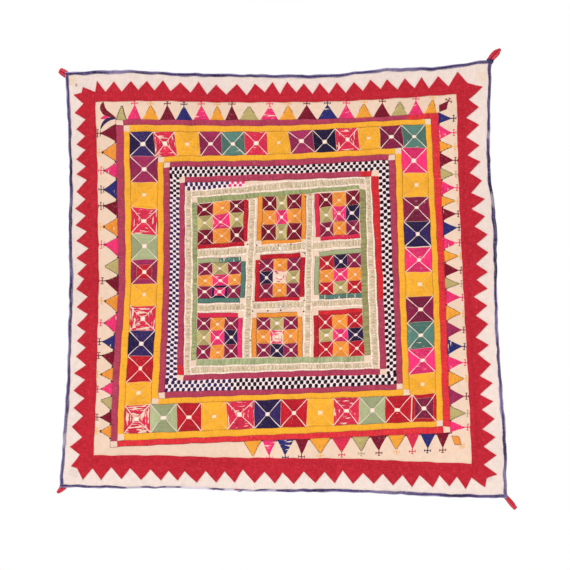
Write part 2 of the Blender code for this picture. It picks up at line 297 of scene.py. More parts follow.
def lattice_point(flat):
    """Points inside the innermost ring, each placed between its four nearest crossings."""
    column, rightwards = cell_of(UPRIGHT_FLATS, flat[:, 0])
    row, up = cell_of(LEVEL_FLATS, flat[:, 1])
    rightwards, up = rightwards[:, None], up[:, None]
    low = mixed(CROSSINGS[row, column], CROSSINGS[row, column + 1], rightwards)
    high = mixed(CROSSINGS[row + 1, column], CROSSINGS[row + 1, column + 1], rightwards)
    return mixed(low, high, up)


print("the nine blocks are about", round((UPRIGHT_FLATS[1] - UPRIGHT_FLATS[0]) * 1000), "mm wide")

# %% [markdown]
# ## From flat to hung
#
# A flat place lies between two rings, nearest to one of their four sides. It is carried to the same
# share of the way along that side, between the same two rings. The drape adds gentle waves forward
# and back, and small creases, and the sways pull the threads a little sideways, as years of hanging
# do. Both are the same for every layer, so that the stitches follow their cloth.

# %%
def warp(flat):
    """Where the points (u, v) of the flat pieces hang, as (x, z)."""
    u, v = flat[:, 0], flat[:, 1]
    boxes = np.array(BOXES)
    order = np.arange(len(boxes))
    counts = np.array([
        np.interp(u, boxes[:, 0], order),
        np.interp(-u, -boxes[:, 1], order),
        np.interp(v, boxes[:, 2], order),
        np.interp(-v, -boxes[:, 3], order),
    ])
    nearest = counts.argmin(axis=0)
    rings_in = counts.min(axis=0)
    hung = lattice_point(flat)
    for side, name in enumerate(SIDE_NAMES):
        along, low, high = (v, 2, 3) if side < 2 else (u, 0, 1)
        for ring in order[:-1]:
            chosen = (nearest == side) & (rings_in >= ring) & (rings_in < ring + 1)
            if not chosen.any():
                continue
            inwards = rings_in[chosen] - ring
            start = mixed(boxes[ring, low], boxes[ring + 1, low], inwards)
            end = mixed(boxes[ring, high], boxes[ring + 1, high], inwards)
            share = (along[chosen] - start) / (end - start)
            outer, inner = SIDES[ring][name].at(share), SIDES[ring + 1][name].at(share)
            hung[chosen] = mixed(outer, inner, inwards[:, None])
    return hung


Wave = namedtuple("Wave", "height across upwards phase")
WAVES = [
    Wave(2.2 * MM, 1.25, 0.75, 0.6),
    Wave(1.2 * MM, 2.20, -1.40, 2.1),
    Wave(0.7 * MM, 1.10, 3.00, 4.0),
]
CREASES = [
    Wave(0.20 * MM, 7.0, 3.1, 1.0),
    Wave(0.16 * MM, -4.3, 9.2, 2.6),
    Wave(0.10 * MM, 15.0, 6.5, 0.3),
]
Sway = namedtuple("Sway", "sideways upright across upwards phase")
SWAYS = [
    Sway(0.60 * MM, 0.10 * MM, 2.9, 11.3, 1.3),
    Sway(0.10 * MM, 0.60 * MM, 12.7, 3.3, 0.4),
    Sway(0.32 * MM, 0.00 * MM, 6.1, 26.0, 4.1),
    Sway(0.00 * MM, 0.32 * MM, 24.0, -7.0, 2.2),
]


def swing(wave, x, z):
    """A wave's or a sway's sine at these places, from -1 to 1."""
    return np.sin(math.tau * (x * wave.across + z * wave.upwards) + wave.phase)


def hang(plan, depth):
    """Points (x, z) of the plan in space, `depth` in front of the ground cloth's back."""
    x, z = plan[..., 0], plan[..., 1]
    back = sum(wave.height * swing(wave, x, z) for wave in WAVES + CREASES)
    right = sum(sway.sideways * swing(sway, x, z) for sway in SWAYS)
    up = sum(sway.upright * swing(sway, x, z) for sway in SWAYS)
    return np.stack([x + right, back - depth, z + up], axis=-1)


corner = warp(np.array([[outline.left, outline.top]]))[0]
print("the top left corner hangs at", np.round(corner, 3))

# %% [markdown]
# ## Layers
#
# The thicknesses are those of the CAD model: a ground cloth, the embroidered panel 0.3 mm in front
# of it, and red strips that lie on both. A fold or a hem never touches its neighbour.

# %%
GAP = 0.3 * MM
GROUND_THICK = 1.2 * MM
PANEL_THICK = 1.5 * MM
STRIP_THICK = 1.0 * MM
TAB_THICK = 1.0 * MM
BINDING_WALL = 0.8 * MM
PANEL_BACK = GROUND_THICK + GAP
PANEL_FRONT = PANEL_BACK + PANEL_THICK
STRIP_ON_GROUND = GROUND_THICK + GAP
STRIP_ON_PANEL = PANEL_FRONT + GAP
RIM = 10.0 * MM
BINDING_WIDTH = 6.5 * MM
CLOTH_INSET = 1.9 * MM
print("the panel's face stands", round(PANEL_FRONT * 1000, 1), "mm in front of the back")

# %% [markdown]
# ## Colours and shader sums
#
# Colours were judged against the photograph on the usual 0 to 255 scale. The room and the lamp
# together shine about one full light on the cloth, so a colour comes out in the picture about as it
# is written here.
#
# A shader is a sum of patterns. The small class below lets such sums be written as plain
# arithmetic, while every number still ends up as a node that can be opened and changed by hand.

# %%
def tone(red, green, blue):
    """A colour seen in the photograph as the colour of the material."""
    seen = np.array([red, green, blue]) / 255
    linear = np.where(seen <= 0.04045, seen / 12.92, ((seen + 0.055) / 1.055) ** 2.4)
    return tuple(float(value) for value in linear)


class Value:
    """A number in a material's node tree, with the sums that patterns are made of."""

    def __init__(self, shader, socket):
        self.shader = shader
        self.socket = socket

    def math(self, operation, *others):
        return self.shader.node("ShaderNodeMath", {"operation": operation}, [self, *others])

    def __add__(self, other):
        return self.math("ADD", other)

    __radd__ = __add__

    def __mul__(self, other):
        return self.math("MULTIPLY", other)

    __rmul__ = __mul__

    def __sub__(self, other):
        return self.math("SUBTRACT", other)

    def __rsub__(self, other):
        return self.shader.node("ShaderNodeMath", {"operation": "SUBTRACT"}, [other, self])

    def __truediv__(self, other):
        return self.math("DIVIDE", other)

    def rise(self, low, high):
        """0 below low, 1 above high and a smooth step between them."""
        settings = {"interpolation_type": "SMOOTHSTEP"}
        return self.shader.node("ShaderNodeMapRange", settings, [self, low, high, 0.0, 1.0])


class Shader:
    """One material, with a method that adds any node and joins it up."""

    def __init__(self, name):
        self.material = bpy.data.materials.new(name)
        self.material.use_nodes = True
        self.tree = self.material.node_tree
        self.surface = self.tree.nodes["Principled BSDF"]

    def put(self, node, inputs):
        """Sets or links a node's inputs, by position or by name."""
        for key, value in inputs.items():
            if isinstance(value, Value):
                self.tree.links.new(value.socket, node.inputs[key])
            elif value is not None:
                node.inputs[key].default_value = value

    def node(self, kind, settings, inputs=(), output=0):
        made = self.tree.nodes.new(kind)
        for name, value in settings.items():
            setattr(made, name, value)
        self.put(made, inputs if isinstance(inputs, dict) else dict(enumerate(inputs)))
        return Value(self, made.outputs[output])

    def pair(self, uv_map):
        """The two coordinates of a UV map, in metres."""
        vector = self.node("ShaderNodeUVMap", {"uv_map": uv_map})
        split = "ShaderNodeSeparateXYZ"
        return self.node(split, {}, [vector], 0), self.node(split, {}, [vector], 1)

    def point(self, x, y, z=0.0):
        return self.node("ShaderNodeCombineXYZ", {}, [x, y, z])

    def place(self):
        """The place on the object itself, in metres."""
        return self.node("ShaderNodeTexCoord", {}, output=3)

    def noise(self, vector, scale, detail=2.0):
        inputs = {"Vector": vector, "Scale": scale, "Detail": detail}
        return self.node("ShaderNodeTexNoise", {}, inputs)

    def mix(self, share, a, b, blend="MIX"):
        """Colour b over colour a."""
        settings = {"data_type": "RGBA", "blend_type": blend}
        colours = {6: a, 7: b}
        for key, value in colours.items():
            if isinstance(value, tuple) and len(value) == 3:
                colours[key] = (*value, 1.0)
        return self.node("ShaderNodeMix", settings, {0: share, **colours}, 2)

    def shade(self, colour, factor):
        """The colour made lighter or darker by a number."""
        grey = self.point(factor, factor, factor)
        return self.mix(1.0, colour, grey, "MULTIPLY")

    def finish(self, bump, bump_distance, **inputs):
        """Joins the patterns to the surface."""
        normal = self.node(
            "ShaderNodeBump", {}, {"Strength": 1.0, "Distance": bump_distance, "Height": bump}
        )
        self.put(self.surface, {"Normal": normal})
        self.put(self.surface, {name.replace("_", " "): value for name, value in inputs.items()})
        return self.material


print("a mid grey of 128 becomes", round(tone(128, 128, 128)[0], 3))

# %% [markdown]
# ## Cotton cloth
#
# Plain cotton is one thread over, one thread under. Two sine waves multiplied give that grid of
# small hills. Uneven hand-spun threads show as long thin streaks both ways, so two stretched noises
# shade the colour. Dust and handling leave soft clouds, and a stain is a distance from a point. A
# folded tab gets painted shade along its rolled edges and down its middle groove, with a painted
# highlight between them, and a folded binding is rubbed pale along its fold and faded in patches.

# %%
CLOTH_UV = "cut"
Stain = namedtuple("Stain", "px py radius_px colour strength")
GROUND = tone(240, 220, 210)
PANEL = tone(240, 209, 185)
RED = tone(190, 34, 49)
WORN_FROM, WORN_TO = 0.52, 0.72
WEAVE_RELIEF = 0.16 * MM


def rubbed(shader, worn, clouds, v, reach):
    """More wear within `reach` of the fold, along the far hem and in faded patches."""
    rims = (1.0 - v.rise(0.4 * reach, reach)) + v.rise(1.9 * reach, 2.6 * reach) * 0.6
    faded = shader.noise(shader.place(), 6.0, 3.0).rise(0.5, 0.68) * 0.4
    return worn * 0.7 + rims * clouds.rise(0.3, 0.6) * 0.9 + faded


def painted_fold_shade(shader, colour, u, reach):
    """Painted shade: the colour darker beyond this reach from the middle and in the groove down the
    middle, with a painted highlight between them.
    """
    off_middle = u.math("ABSOLUTE")
    fold_shade = off_middle.rise(reach, reach * 1.4) + 1.0 - off_middle.rise(0.6 * MM, 1.9 * MM)
    return shader.shade(colour, 1.15 - fold_shade * 0.62)


def stained(shader, colour, stain):
    """The colour with a soft-edged stain on it."""
    x, z = (float(value) for value in spot(stain.px, stain.py))
    offset = shader.node(
        "ShaderNodeVectorMath", {"operation": "DISTANCE"}, [shader.place(), (x, 0.0, z)], 1
    )
    edge = offset / (stain.radius_px * PIXEL) + (shader.noise(shader.place(), 220.0) - 0.5) * 0.9
    return shader.mix((1.0 - edge.rise(0.55, 1.15)) * stain.strength, colour, stain.colour)


def cotton(name, colour, pitch, slub=0.10, cloud=0.05, streak=None, streak_share=0.0, stains=(),
           pucker=1.5, runs=40.0, fold_shade_from=None, pale_to=None):
    """Plain woven cotton of this thread pitch, with optional streaks of a paler colour. The puckers
    are low bumps a few millimetres wide, and the streaks are as short as `runs` is large."""
    shader = Shader(name)
    u, v = shader.pair(CLOTH_UV)
    warp_hill = (u * (math.pi / pitch)).math("SINE")
    weft_hill = (v * (math.pi / pitch)).math("SINE")
    long_threads = shader.noise(shader.point(u * (0.35 / pitch), v * runs), 1.0)
    cross_threads = shader.noise(shader.point(u * runs, v * (0.35 / pitch), 7.0), 1.0)
    clouds = shader.noise(shader.place(), 9.0, 3.0)
    mottle = shader.noise(shader.place(), 95.0, 3.0)
    threads = long_threads + cross_threads - 1.0
    patches = (clouds - 0.5) * (2.0 * cloud) + (mottle - 0.5) * (2.4 * cloud)
    result = shader.shade(colour, 1.0 + threads * (2.0 * slub) + patches)
    if streak:
        worn = long_threads.rise(WORN_FROM, WORN_TO) + cross_threads.rise(WORN_FROM, WORN_TO)
        worn = worn * streak_share
        if pale_to:
            worn = rubbed(shader, worn, clouds, v, pale_to)
        result = shader.mix(worn, result, streak)
    # Painted shade in a rolled tab's folds, with a painted highlight between them.
    if fold_shade_from:
        result = painted_fold_shade(shader, result, u, fold_shade_from)
    for stain in stains:
        result = stained(shader, result, stain)
    bumps = shader.noise(shader.place(), 70.0) + mottle * 0.5
    return shader.finish(
        warp_hill * weft_hill * 0.4 + threads * 0.8 + bumps * pucker, WEAVE_RELIEF,
        Base_Color=result, Roughness=0.86 + threads * 0.12, Specular_IOR_Level=0.1,
    )


BROWN = tone(172, 122, 84)
PINK_STAIN = tone(225, 150, 150)
PEACH = tone(240, 204, 166)
GREY = tone(206, 194, 188)
BARE_HEM = tone(226, 214, 226)
ground_cotton = cotton(
    "ground_cotton", GROUND, 0.55 * MM, slub=0.09, cloud=0.09, pucker=4.5,
    stains=[
        Stain(71, 80, 6.5, PEACH, 0.5), Stain(76.2, 85, 1.7, BROWN, 0.7),
        Stain(482, 76, 7.0, PEACH, 0.3), Stain(74, 473, 6.0, GREY, 0.4),
        Stain(398, 486, 1.4, BROWN, 0.25), Stain(488, 478, 5.0, GREY, 0.4),
    ],
)
panel_cotton = cotton(
    "panel_cotton", PANEL, 0.5 * MM, slub=0.05, cloud=0.08, pucker=5.0,
    stains=[Stain(246, 256, 2.2, PINK_STAIN, 0.7)],
)
red_cotton = cotton(
    "red_cotton", RED, 0.7 * MM, slub=0.2, cloud=0.16, streak=tone(216, 84, 96), streak_share=0.25,
    pucker=3.0, runs=70.0,
)
# The tabs carry painted shade along their rolled edges and down the middle groove, and a painted
# highlight between.
tab_cotton = cotton(
    "red_tab_cotton", tone(202, 44, 60), 0.7 * MM, slub=0.25, cloud=0.14,
    streak=tone(226, 110, 120), streak_share=0.5, runs=20.0, fold_shade_from=4.4 * MM,
)
binding_cotton = cotton(
    "navy_binding", tone(52, 40, 88), 0.45 * MM, slub=0.5, cloud=1.0, streak=tone(172, 158, 192),
    streak_share=0.9, pucker=3.0, runs=14.0, pale_to=3.2 * MM,
    stains=[Stain(px, py, radius_px, BARE_HEM, strength) for px, py, radius_px, strength in (
        (134, 487, 9, 0.6), (171, 488, 6, 0.4), (188, 488, 9, 0.92), (201, 489, 9, 0.92),
        (229, 489, 6, 0.75), (250, 490, 6, 0.45), (272, 491, 5, 0.5), (62, 300, 9, 0.35),
        (494, 200, 8, 0.35), (488, 135, 5, 0.35), (66, 440, 8, 0.35),
    )] + [Stain(236.3, 489.2, 1.3, RED, 0.9)],
)
print("five cottons made")

# %% [markdown]
# ## Silk floss
#
# The embroidery is untwisted silk laid side by side in long satin stitches. Each patch of it
# carries its own colour in an attribute, whose alpha says how worn it is, and a UV map in metres
# along and across its threads. One material then serves every colour: fine ridges across the
# threads, single threads a shade lighter or darker, whole bundles in lighter and darker streaks
# that are partly their tone and partly a painted sheen, most of all in the deep dyes, scattered
# pale specks, and, where the silk has worn, gaps along the threads that show the cloth. The pale
# silk of the lattice has dulled in ribs, so it gets the same material with a stronger contrast of
# bundles and painted sheen.

# %%
FLOSS_UV = "stitch"
FLOSS_COLOUR = "floss"
THREAD = 0.55 * MM
SILK_RELIEF = 0.14 * MM


def silk(name, bundle_sheen_contrast, fade):
    """Satin-stitched floss in the colour that each patch carries. The bundles of threads differ by
    this contrast in the deep dyes, partly in tone and partly as a painted sheen, and by less the
    paler the dye, as far as it should fade."""
    shader = Shader(name)
    along, over = shader.pair(FLOSS_UV)
    dyed = {"attribute_name": FLOSS_COLOUR}
    colour = shader.node("ShaderNodeAttribute", dyed, output=0)
    wear = shader.node("ShaderNodeAttribute", dyed, output=3)
    wander = shader.noise(shader.point(along * 90.0, over * 260.0), 1.0) - 0.5
    ridge = ((over + wander * (1.4 * THREAD)) * (math.tau / THREAD)).math("SINE") * 0.5 + 0.5
    strands = shader.noise(shader.point(along * 9.0, over / THREAD, 3.0), 1.0)
    bundles = shader.noise(shader.point(along * 34.0, over * 210.0, 9.0), 1.0)
    clouds = shader.noise(shader.place(), 40.0, 3.0)
    pale = shader.node("ShaderNodeSeparateColor", {}, [colour], 1)
    grain = shader.noise(shader.place(), 260.0, 2.0)
    # Painted sheen: the bundles' streaks in the colour stand partly for light caught by the floss.
    uneven_and_sheen = (strands - 0.5) * 0.6 + (bundles - 0.5) * bundle_sheen_contrast + (clouds - 0.5) * 0.5
    uneven_and_sheen = uneven_and_sheen + (grain - 0.5) * 0.7
    silk_colour = shader.shade(colour, 1.0 + uneven_and_sheen * (1.05 - pale * fade))
    gaps = shader.noise(shader.point(along * 42.0, over * 200.0, 5.0), 1.0, 3.0)
    bare = (gaps + wear * 0.5).rise(0.72, 0.78)
    pale_specks = shader.noise(shader.place(), 400.0, 1.0).rise(0.62, 0.78) * 0.2
    silk_colour = shader.mix(pale_specks, silk_colour, PANEL)
    result = shader.mix(bare, silk_colour, PANEL)
    height = (ridge * 0.5 + strands * 0.6 + bundles * 2.0) * (1.0 - bare * 0.8)
    roughness = 0.5 + bare * 0.3 + (bundles - 0.5) * 0.2
    return shader.finish(
        height, SILK_RELIEF, Base_Color=result, Roughness=roughness, Specular_IOR_Level=0.16
    )


silk_floss = silk("silk_floss", 0.6, 1.1)
ribbed_silk = silk("ribbed_silk", 1.5, 0.4)
print("two silks for all colours made")

# %% [markdown]
# ## Cutting cloth
#
# Every cloth piece starts as a flat grid. Its points are then put where the cloth hangs, and a
# Solidify modifier, applied at once, gives it its thickness. The UV map keeps the flat places in
# metres, so that the weave follows the cloth however it was pulled.

# %%
def read(parts, what, kind=float, width=1):
    """One property of all of a mesh's points, corners or faces, as an array."""
    values = np.empty(len(parts) * width, kind)
    parts.foreach_get(what, values)
    return values if width == 1 else values.reshape(-1, width)


def cut_cloth(name, flat, space):
    """An open grid of cloth. flat and space hold each point's flat place and its place in space,
    as arrays of rows and columns."""
    rows, columns = flat.shape[:2]
    piece = added(
        bpy.ops.mesh.primitive_grid_add,
        x_subdivisions=columns - 1, y_subdivisions=rows - 1, size=1.0,
    )
    piece.name = name
    mesh = piece.data
    mesh.name = name
    start = read(mesh.vertices, "co", float, 3) + 0.5
    column = np.round(start[:, 0] * (columns - 1)).astype(int)
    row = np.round(start[:, 1] * (rows - 1)).astype(int)
    mesh.vertices.foreach_set("co", space[row, column].ravel())
    uv = mesh.uv_layers.active
    uv.name = CLOTH_UV
    corners = read(mesh.loops, "vertex_index", int)
    uv.data.foreach_set("uv", flat[row, column][corners].ravel())
    mesh.update()
    return piece


def face_forwards(piece, is_folded=False):
    """Turns an open sheet's faces to the front, or a folded one's away from its fold."""
    faces = piece.data.polygons
    if is_folded:
        facing = min(faces, key=lambda face: face.center.y).normal.y
    else:
        facing = sum(face.normal.y * face.area for face in faces)
    if facing > 0:
        bpy.ops.object.mode_set(mode="EDIT")
        bpy.ops.mesh.select_all(action="SELECT")
        bpy.ops.mesh.flip_normals()
        bpy.ops.object.mode_set(mode="OBJECT")


SMOOTH_CLOTH = math.radians(50)


def thicken(piece, thickness, offset=1.0):
    """Gives the sheet its thickness and softens its shading, but not over the cut edge."""
    solidify = piece.modifiers.new("thickness", "SOLIDIFY")
    solidify.thickness = thickness
    solidify.offset = offset
    solidify.use_even_offset = True
    bpy.ops.object.modifier_apply(modifier=solidify.name)
    bpy.ops.object.shade_smooth_by_angle(angle=SMOOTH_CLOTH)


def belongs(piece, material, node=None):
    """Gives a piece its material, and its place in the frame."""
    piece.data.materials.clear()
    piece.data.materials.append(material)
    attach(piece, "root")
    if node:
        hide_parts(node)


def grid_over(box, past, stations):
    """The flat places of a square grid over a box and this far past it, as rows and columns."""
    us = np.linspace(box.left - past, box.right + past, stations)
    vs = np.linspace(box.bottom - past, box.top + past, stations)
    return np.stack(np.meshgrid(us, vs), axis=-1)


def warped(flat, to_hung=warp):
    """warp(), or another such function, for an array of points of any shape."""
    return to_hung(flat.reshape(-1, 2)).reshape(flat.shape) if to_hung else flat


# %% [markdown]
# ## The ground cloth and the embroidered panel
#
# The ground cloth is the whole square, a little smaller than the binding that folds round its edge.
# The panel is a warmer cream square whose rim goes under the red strips.

# %%
GROUND_STATIONS = 121
PANEL_STATIONS = 131
flat = grid_over(outline, -CLOTH_INSET, GROUND_STATIONS)
ground = cut_cloth("ground_square", flat, hang(warped(flat), 0.0))
thicken(ground, GROUND_THICK)
belongs(ground, ground_cotton, "ground_cloth")

opening = BOX["opening"]
flat = grid_over(opening, RIM, PANEL_STATIONS)
panel = cut_cloth("panel_square", flat, hang(warped(flat), PANEL_BACK))
thicken(panel, PANEL_THICK)
belongs(panel, panel_cotton, "embroidered_panel")
print("ground cloth and panel have", len(ground.data.polygons) + len(panel.data.polygons), "faces")

# %% [markdown]
# ## The red sawtooth strips
#
# The maker cuts a strip of red cotton, snips one edge at even steps and folds each flap into a
# point. The strip is sewn down along both edges, so its surface is lowest there. Each half tooth
# gets a few columns of points, and the last row runs from notch to tip and back. No two teeth came
# out the same, so a second table says how far each tip and notch is off its even step, and a third
# adds the teeth at both ends of the side strips.

# %%
Strip = namedtuple("Strip", "side teeth low_tip high_tip valley_depths tip_depths drifts")
# In millimetres: how far the first and the last tip stand inside the corners, how deep the notches
# and the tips are at both ends, and how far the teeth drift along the strip in between.
STRIPS = [
    Strip("top", 22, 5, 0, (22, 22), (49, 50), (-6, -1, 8, -1, -3)),
    Strip("bottom", 20, 23, 15, (32, 32), (62, 62), (1, -2, 2, 8, 10)),
    Strip("left", 23, -29, -17, (28, 27), (54, 54), (20, 17, 16, 10, 6)),
    Strip("right", 22, -26, -13, (31, 25), (58, 58), (0, 0, 1, 1, -7)),
]
# By hand every tip and notch strays, along the strip and outwards, in millimetres. Each row reads
# from the left, or from the top down.
Stray = namedtuple("Stray", "tips notches tips_out notches_out")
STRAYS = {
    "top": Stray(
        (0, 2, 4, 2, -1, -1, 0, -1, 5, 4, 3, -4, -3, -3, 0, 1, 1, 0, 1, -2, -4, 0),
        (0, 0, 2, 1, -3, 2, -2, 1, 6, 5, 0, 0, 1, 1, 2, 3, 5, 5, 5, -3, 1),
        (0, -2, -3, -1, 1, -1, 1, -4, -2, -1, 4, 4, 0, 0, 0, -4, -1, -4, -2, -2, -2, 1),
        (0, 0, 3, 3, 2, 0, -4, -4, -4, 3, -1, 2, -1, -3, -2, -1, 2, -2, 0, -4, -4)),
    "bottom": Stray(
        (0, 2, 2, 3, -2, 0, 2, 0, 1, 2, -1, 2, 1, -2, 0, 0, 1, 7, 4, 0),
        (-3, -4, 0, -2, -8, -2, -2, -6, -2, -6, -2, 0, -4, -2, -2, -1, -5, 1, 1),
        (0, -4, -1, 0, 0, 4, 1, 1, -1, -1, 0, -3, -1, -2, -4, -2, -1, -2, -7, 0),
        (-3, 0, 2, 6, 5, 3, 2, -4, 2, 2, 0, 1, -5, 1, 0, 2, 0, -2, 1)),
    "left": Stray(
        (1, 5, 6, 3, -1, -5, -2, -1, 0, 0, 2, 0, -4, -1, 2, 0, -1, 1, 1, -2, -3, -1, 0),
        (1, 0, 2, -4, -3, -11, -5, -5, -6, -4, -3, -8, -6, -5, -4, -5, -2, -6, -2, -5, -3, -8),
        (1, -1, -2, -2, 1, 1, 1, 4, 2, 1, 0, 0, 1, 0, -3, -3, -2, 1, 1, -2, 0, 1, -5),
        (2, -2, 2, 1, 3, 0, 4, 2, 0, -4, 2, 9, -2, -2, 1, 1, -2, 0, -1, 1, -1, 3)),
    "right": Stray(
        (2, 3, -1, 2, -2, 1, 4, 3, 2, 1, 3, -2, -5, -5, 0, 2, 2, 1, -1, -2, -2, 0),
        (6, 3, 3, 1, 0, 7, 3, 3, 1, 5, -1, -5, -5, 2, -3, 6, 7, -1, 2, 0, -2),
        (4, -4, -4, -2, -1, 2, 4, 1, 3, 5, 2, 2, -1, 1, -2, 1, 1, 1, 0, 1, 1, 3),
        (4, -5, -4, -3, 3, 3, 2, 5, 8, 4, 5, -5, -1, -5, -1, -1, -3, -2, -3, -2, -2)),
}
EndTooth = namedtuple("EndTooth", "past_corner notch_depth apex_depth apex_rise")
END_TEETH = {
    ("left", "low"): EndTooth(32, 36, 20, 29),
    ("left", "high"): EndTooth(23, 34, 30, 14),
    ("right", "low"): EndTooth(34, 35, 31, 22),
    ("right", "high"): EndTooth(23, 26, 0.4, 29),
}
# The strip steps down from the panel on to the ground cloth between these distances.
STEP_START = 12.0 * MM
STEP_END = 17.0 * MM
INNER_ROWS = [0.0, 2.0 * MM, 7.0 * MM, STEP_START, STEP_END]
TOOTH_SHARES = (0.35, 0.7, 0.92, 1.0)
COLUMNS_PER_FLANK = 4
APEX_ROW = 5
SEWN_EDGE = 0.25 * MM


def side_places(box, side, along, outwards):
    """Flat places `along` one side of a box, this far outwards from it."""
    away = 1 if side in ("top", "right") else -1
    along, over = np.broadcast_arrays(along, getattr(box, side) + away * outwards)
    return np.stack(placed(side, along, over), axis=-1)


def strip_outline(strip, low, high):
    """The strip's outer edge as places along it and depths outwards, corner by corner."""
    low_end, high_end = END_TEETH.get((strip.side, "low")), END_TEETH.get((strip.side, "high"))
    count = 2 * strip.teeth - 1
    shares = np.linspace(0.0, 1.0, count)
    along = mixed(low + strip.low_tip * MM, high - strip.high_tip * MM, shares)
    along = along + smooth_through(np.array([0, *strip.drifts, 0]) * MM, shares)
    tips = mixed(*strip.tip_depths, shares)
    valleys = mixed(*strip.valley_depths, shares)
    depth = np.where(np.arange(count) % 2, valleys, tips) * MM
    stray = STRAYS[strip.side]
    order = 1 if is_level(strip.side) else -1
    for first, shifts, lifts in (
        (0, stray.tips, stray.tips_out), (1, stray.notches, stray.notches_out)
    ):
        along[first::2] += np.array(shifts[::order]) * order * MM
        depth[first::2] += np.array(lifts[::order]) * MM
    if low_end:
        first = (low - low_end.past_corner * MM, low_end.notch_depth * MM)
    else:
        first = (low + GAP, strip.valley_depths[0] * MM)
    along, depth = np.append(first[0], along), np.append(first[1], depth)
    if high_end:
        last = (high + high_end.past_corner * MM, high_end.notch_depth * MM)
    elif strip.high_tip:
        last = (high - GAP, strip.valley_depths[1] * MM)
    else:
        along[-1] = high - GAP
        return along, depth
    return np.append(along, last[0]), np.append(depth, last[1])


def add_end_tooth(along, outwards, tooth, direction):
    """More columns after the last one, which swing out to the tooth's apex and back."""
    steps = np.arange(len(outwards))
    turns = [0, APEX_ROW, len(outwards) - 1]
    reach = direction * np.interp(steps, turns, [0.0, tooth.apex_rise * MM, 0.0])
    edge = np.interp(steps, turns, [0.0, tooth.apex_depth * MM, tooth.notch_depth * MM])
    shares = np.linspace(0.0, 1.0, COLUMNS_PER_FLANK + 1)[1:]
    more_along = along[:, -1:] + reach[:, None] * shares
    more_outwards = mixed(outwards[:, -1:], edge[:, None], shares)
    return np.hstack([along, more_along]), np.hstack([outwards, more_outwards])


def cut_strip(strip):
    """One red strip with its teeth, and its end teeth where it has them."""
    low, high = run_of(opening, strip.side)
    corners, depths = strip_outline(strip, low, high)
    order = np.arange(len(corners))
    stations = np.linspace(0, order[-1], order[-1] * COLUMNS_PER_FLANK + 1)
    along = np.interp(stations, order, corners)
    outer = np.interp(stations, order, depths)
    root = depths.min()
    rows = [*INNER_ROWS, (STEP_END + root) / 2, root]
    outwards = [np.full(len(along), row) for row in rows]
    outwards += [root + (outer - root) * share for share in TOOTH_SHARES]
    outwards = np.array(outwards)
    along = np.tile(along, (len(outwards), 1))
    if not is_level(strip.side):
        for end, direction in (("high", 1), ("low", -1)):
            tooth = END_TEETH[strip.side, end]
            along, outwards = add_end_tooth(along, outwards, tooth, direction)
            along, outwards = along[:, ::-1], outwards[:, ::-1]
    past_rim = np.maximum(outwards, np.maximum(low - along, along - high)) - STEP_START
    stepped = np.clip(past_rim / (STEP_END - STEP_START), 0, 1)
    depth = mixed(STRIP_ON_PANEL, STRIP_ON_GROUND, stepped)
    depth[0] -= SEWN_EDGE
    depth[-1] -= SEWN_EDGE * 0.5
    flat = side_places(opening, strip.side, along, outwards)
    piece = cut_cloth("red_strip_" + strip.side, flat, hang(warped(flat), depth))
    face_forwards(piece)
    thicken(piece, STRIP_THICK)
    belongs(piece, red_cotton, "sawtooth_" + strip.side)
    mean_depth = (np.mean(strip.valley_depths) + np.mean(strip.tip_depths)) / 2 * MM
    return piece, float(corners[-1] - corners[0]), max(strip.tip_depths) * MM, float(mean_depth)


strips = {strip.side: cut_strip(strip) for strip in STRIPS}
for side, (piece, length, width, mean_depth) in strips.items():
    print(side, "strip:", round(length, 3), "by", round(width, 3), "m")

# %% [markdown]
# ## The navy binding
#
# A narrow navy strip is folded over the raw edge and sewn through. By hand its width is never even.
# Seen end-on it is a C: a hem in front, a round fold outside the edge, and a hem behind.

# %%
BINDING_STATIONS = 161
Hem = namedtuple("Hem", "side widths")
# The front hem's width in millimetres, at even steps from the left or from the bottom.
HEMS = [
    Hem("left", (7.5, 7.0, 9.0, 7.0, 8.2, 9.0, 7.2, 8.4, 6.6, 8.6, 7.8)),
    Hem("right", (8.5, 7.2, 9.4, 7.6, 8.6, 7.0, 9.2, 7.8, 9.0, 7.4, 8.4)),
    Hem("bottom", (7.5, 6.0, 4.8, 5.4, 4.6, 6.4, 8.0, 7.2, 8.8, 7.4, 8.4)),
    Hem("top", (7.0, 8.4, 7.4, 8.8, 7.2, 8.4, 9.2, 7.6, 8.4, 9.0, 7.6)),
]


def hand_ripple(shares, height, waves, sway, sway_waves):
    """A ripple along a hem that comes quicker and slower, as a hand pulls the thread."""
    return height * np.sin(shares * waves + sway * np.sin(shares * sway_waves))


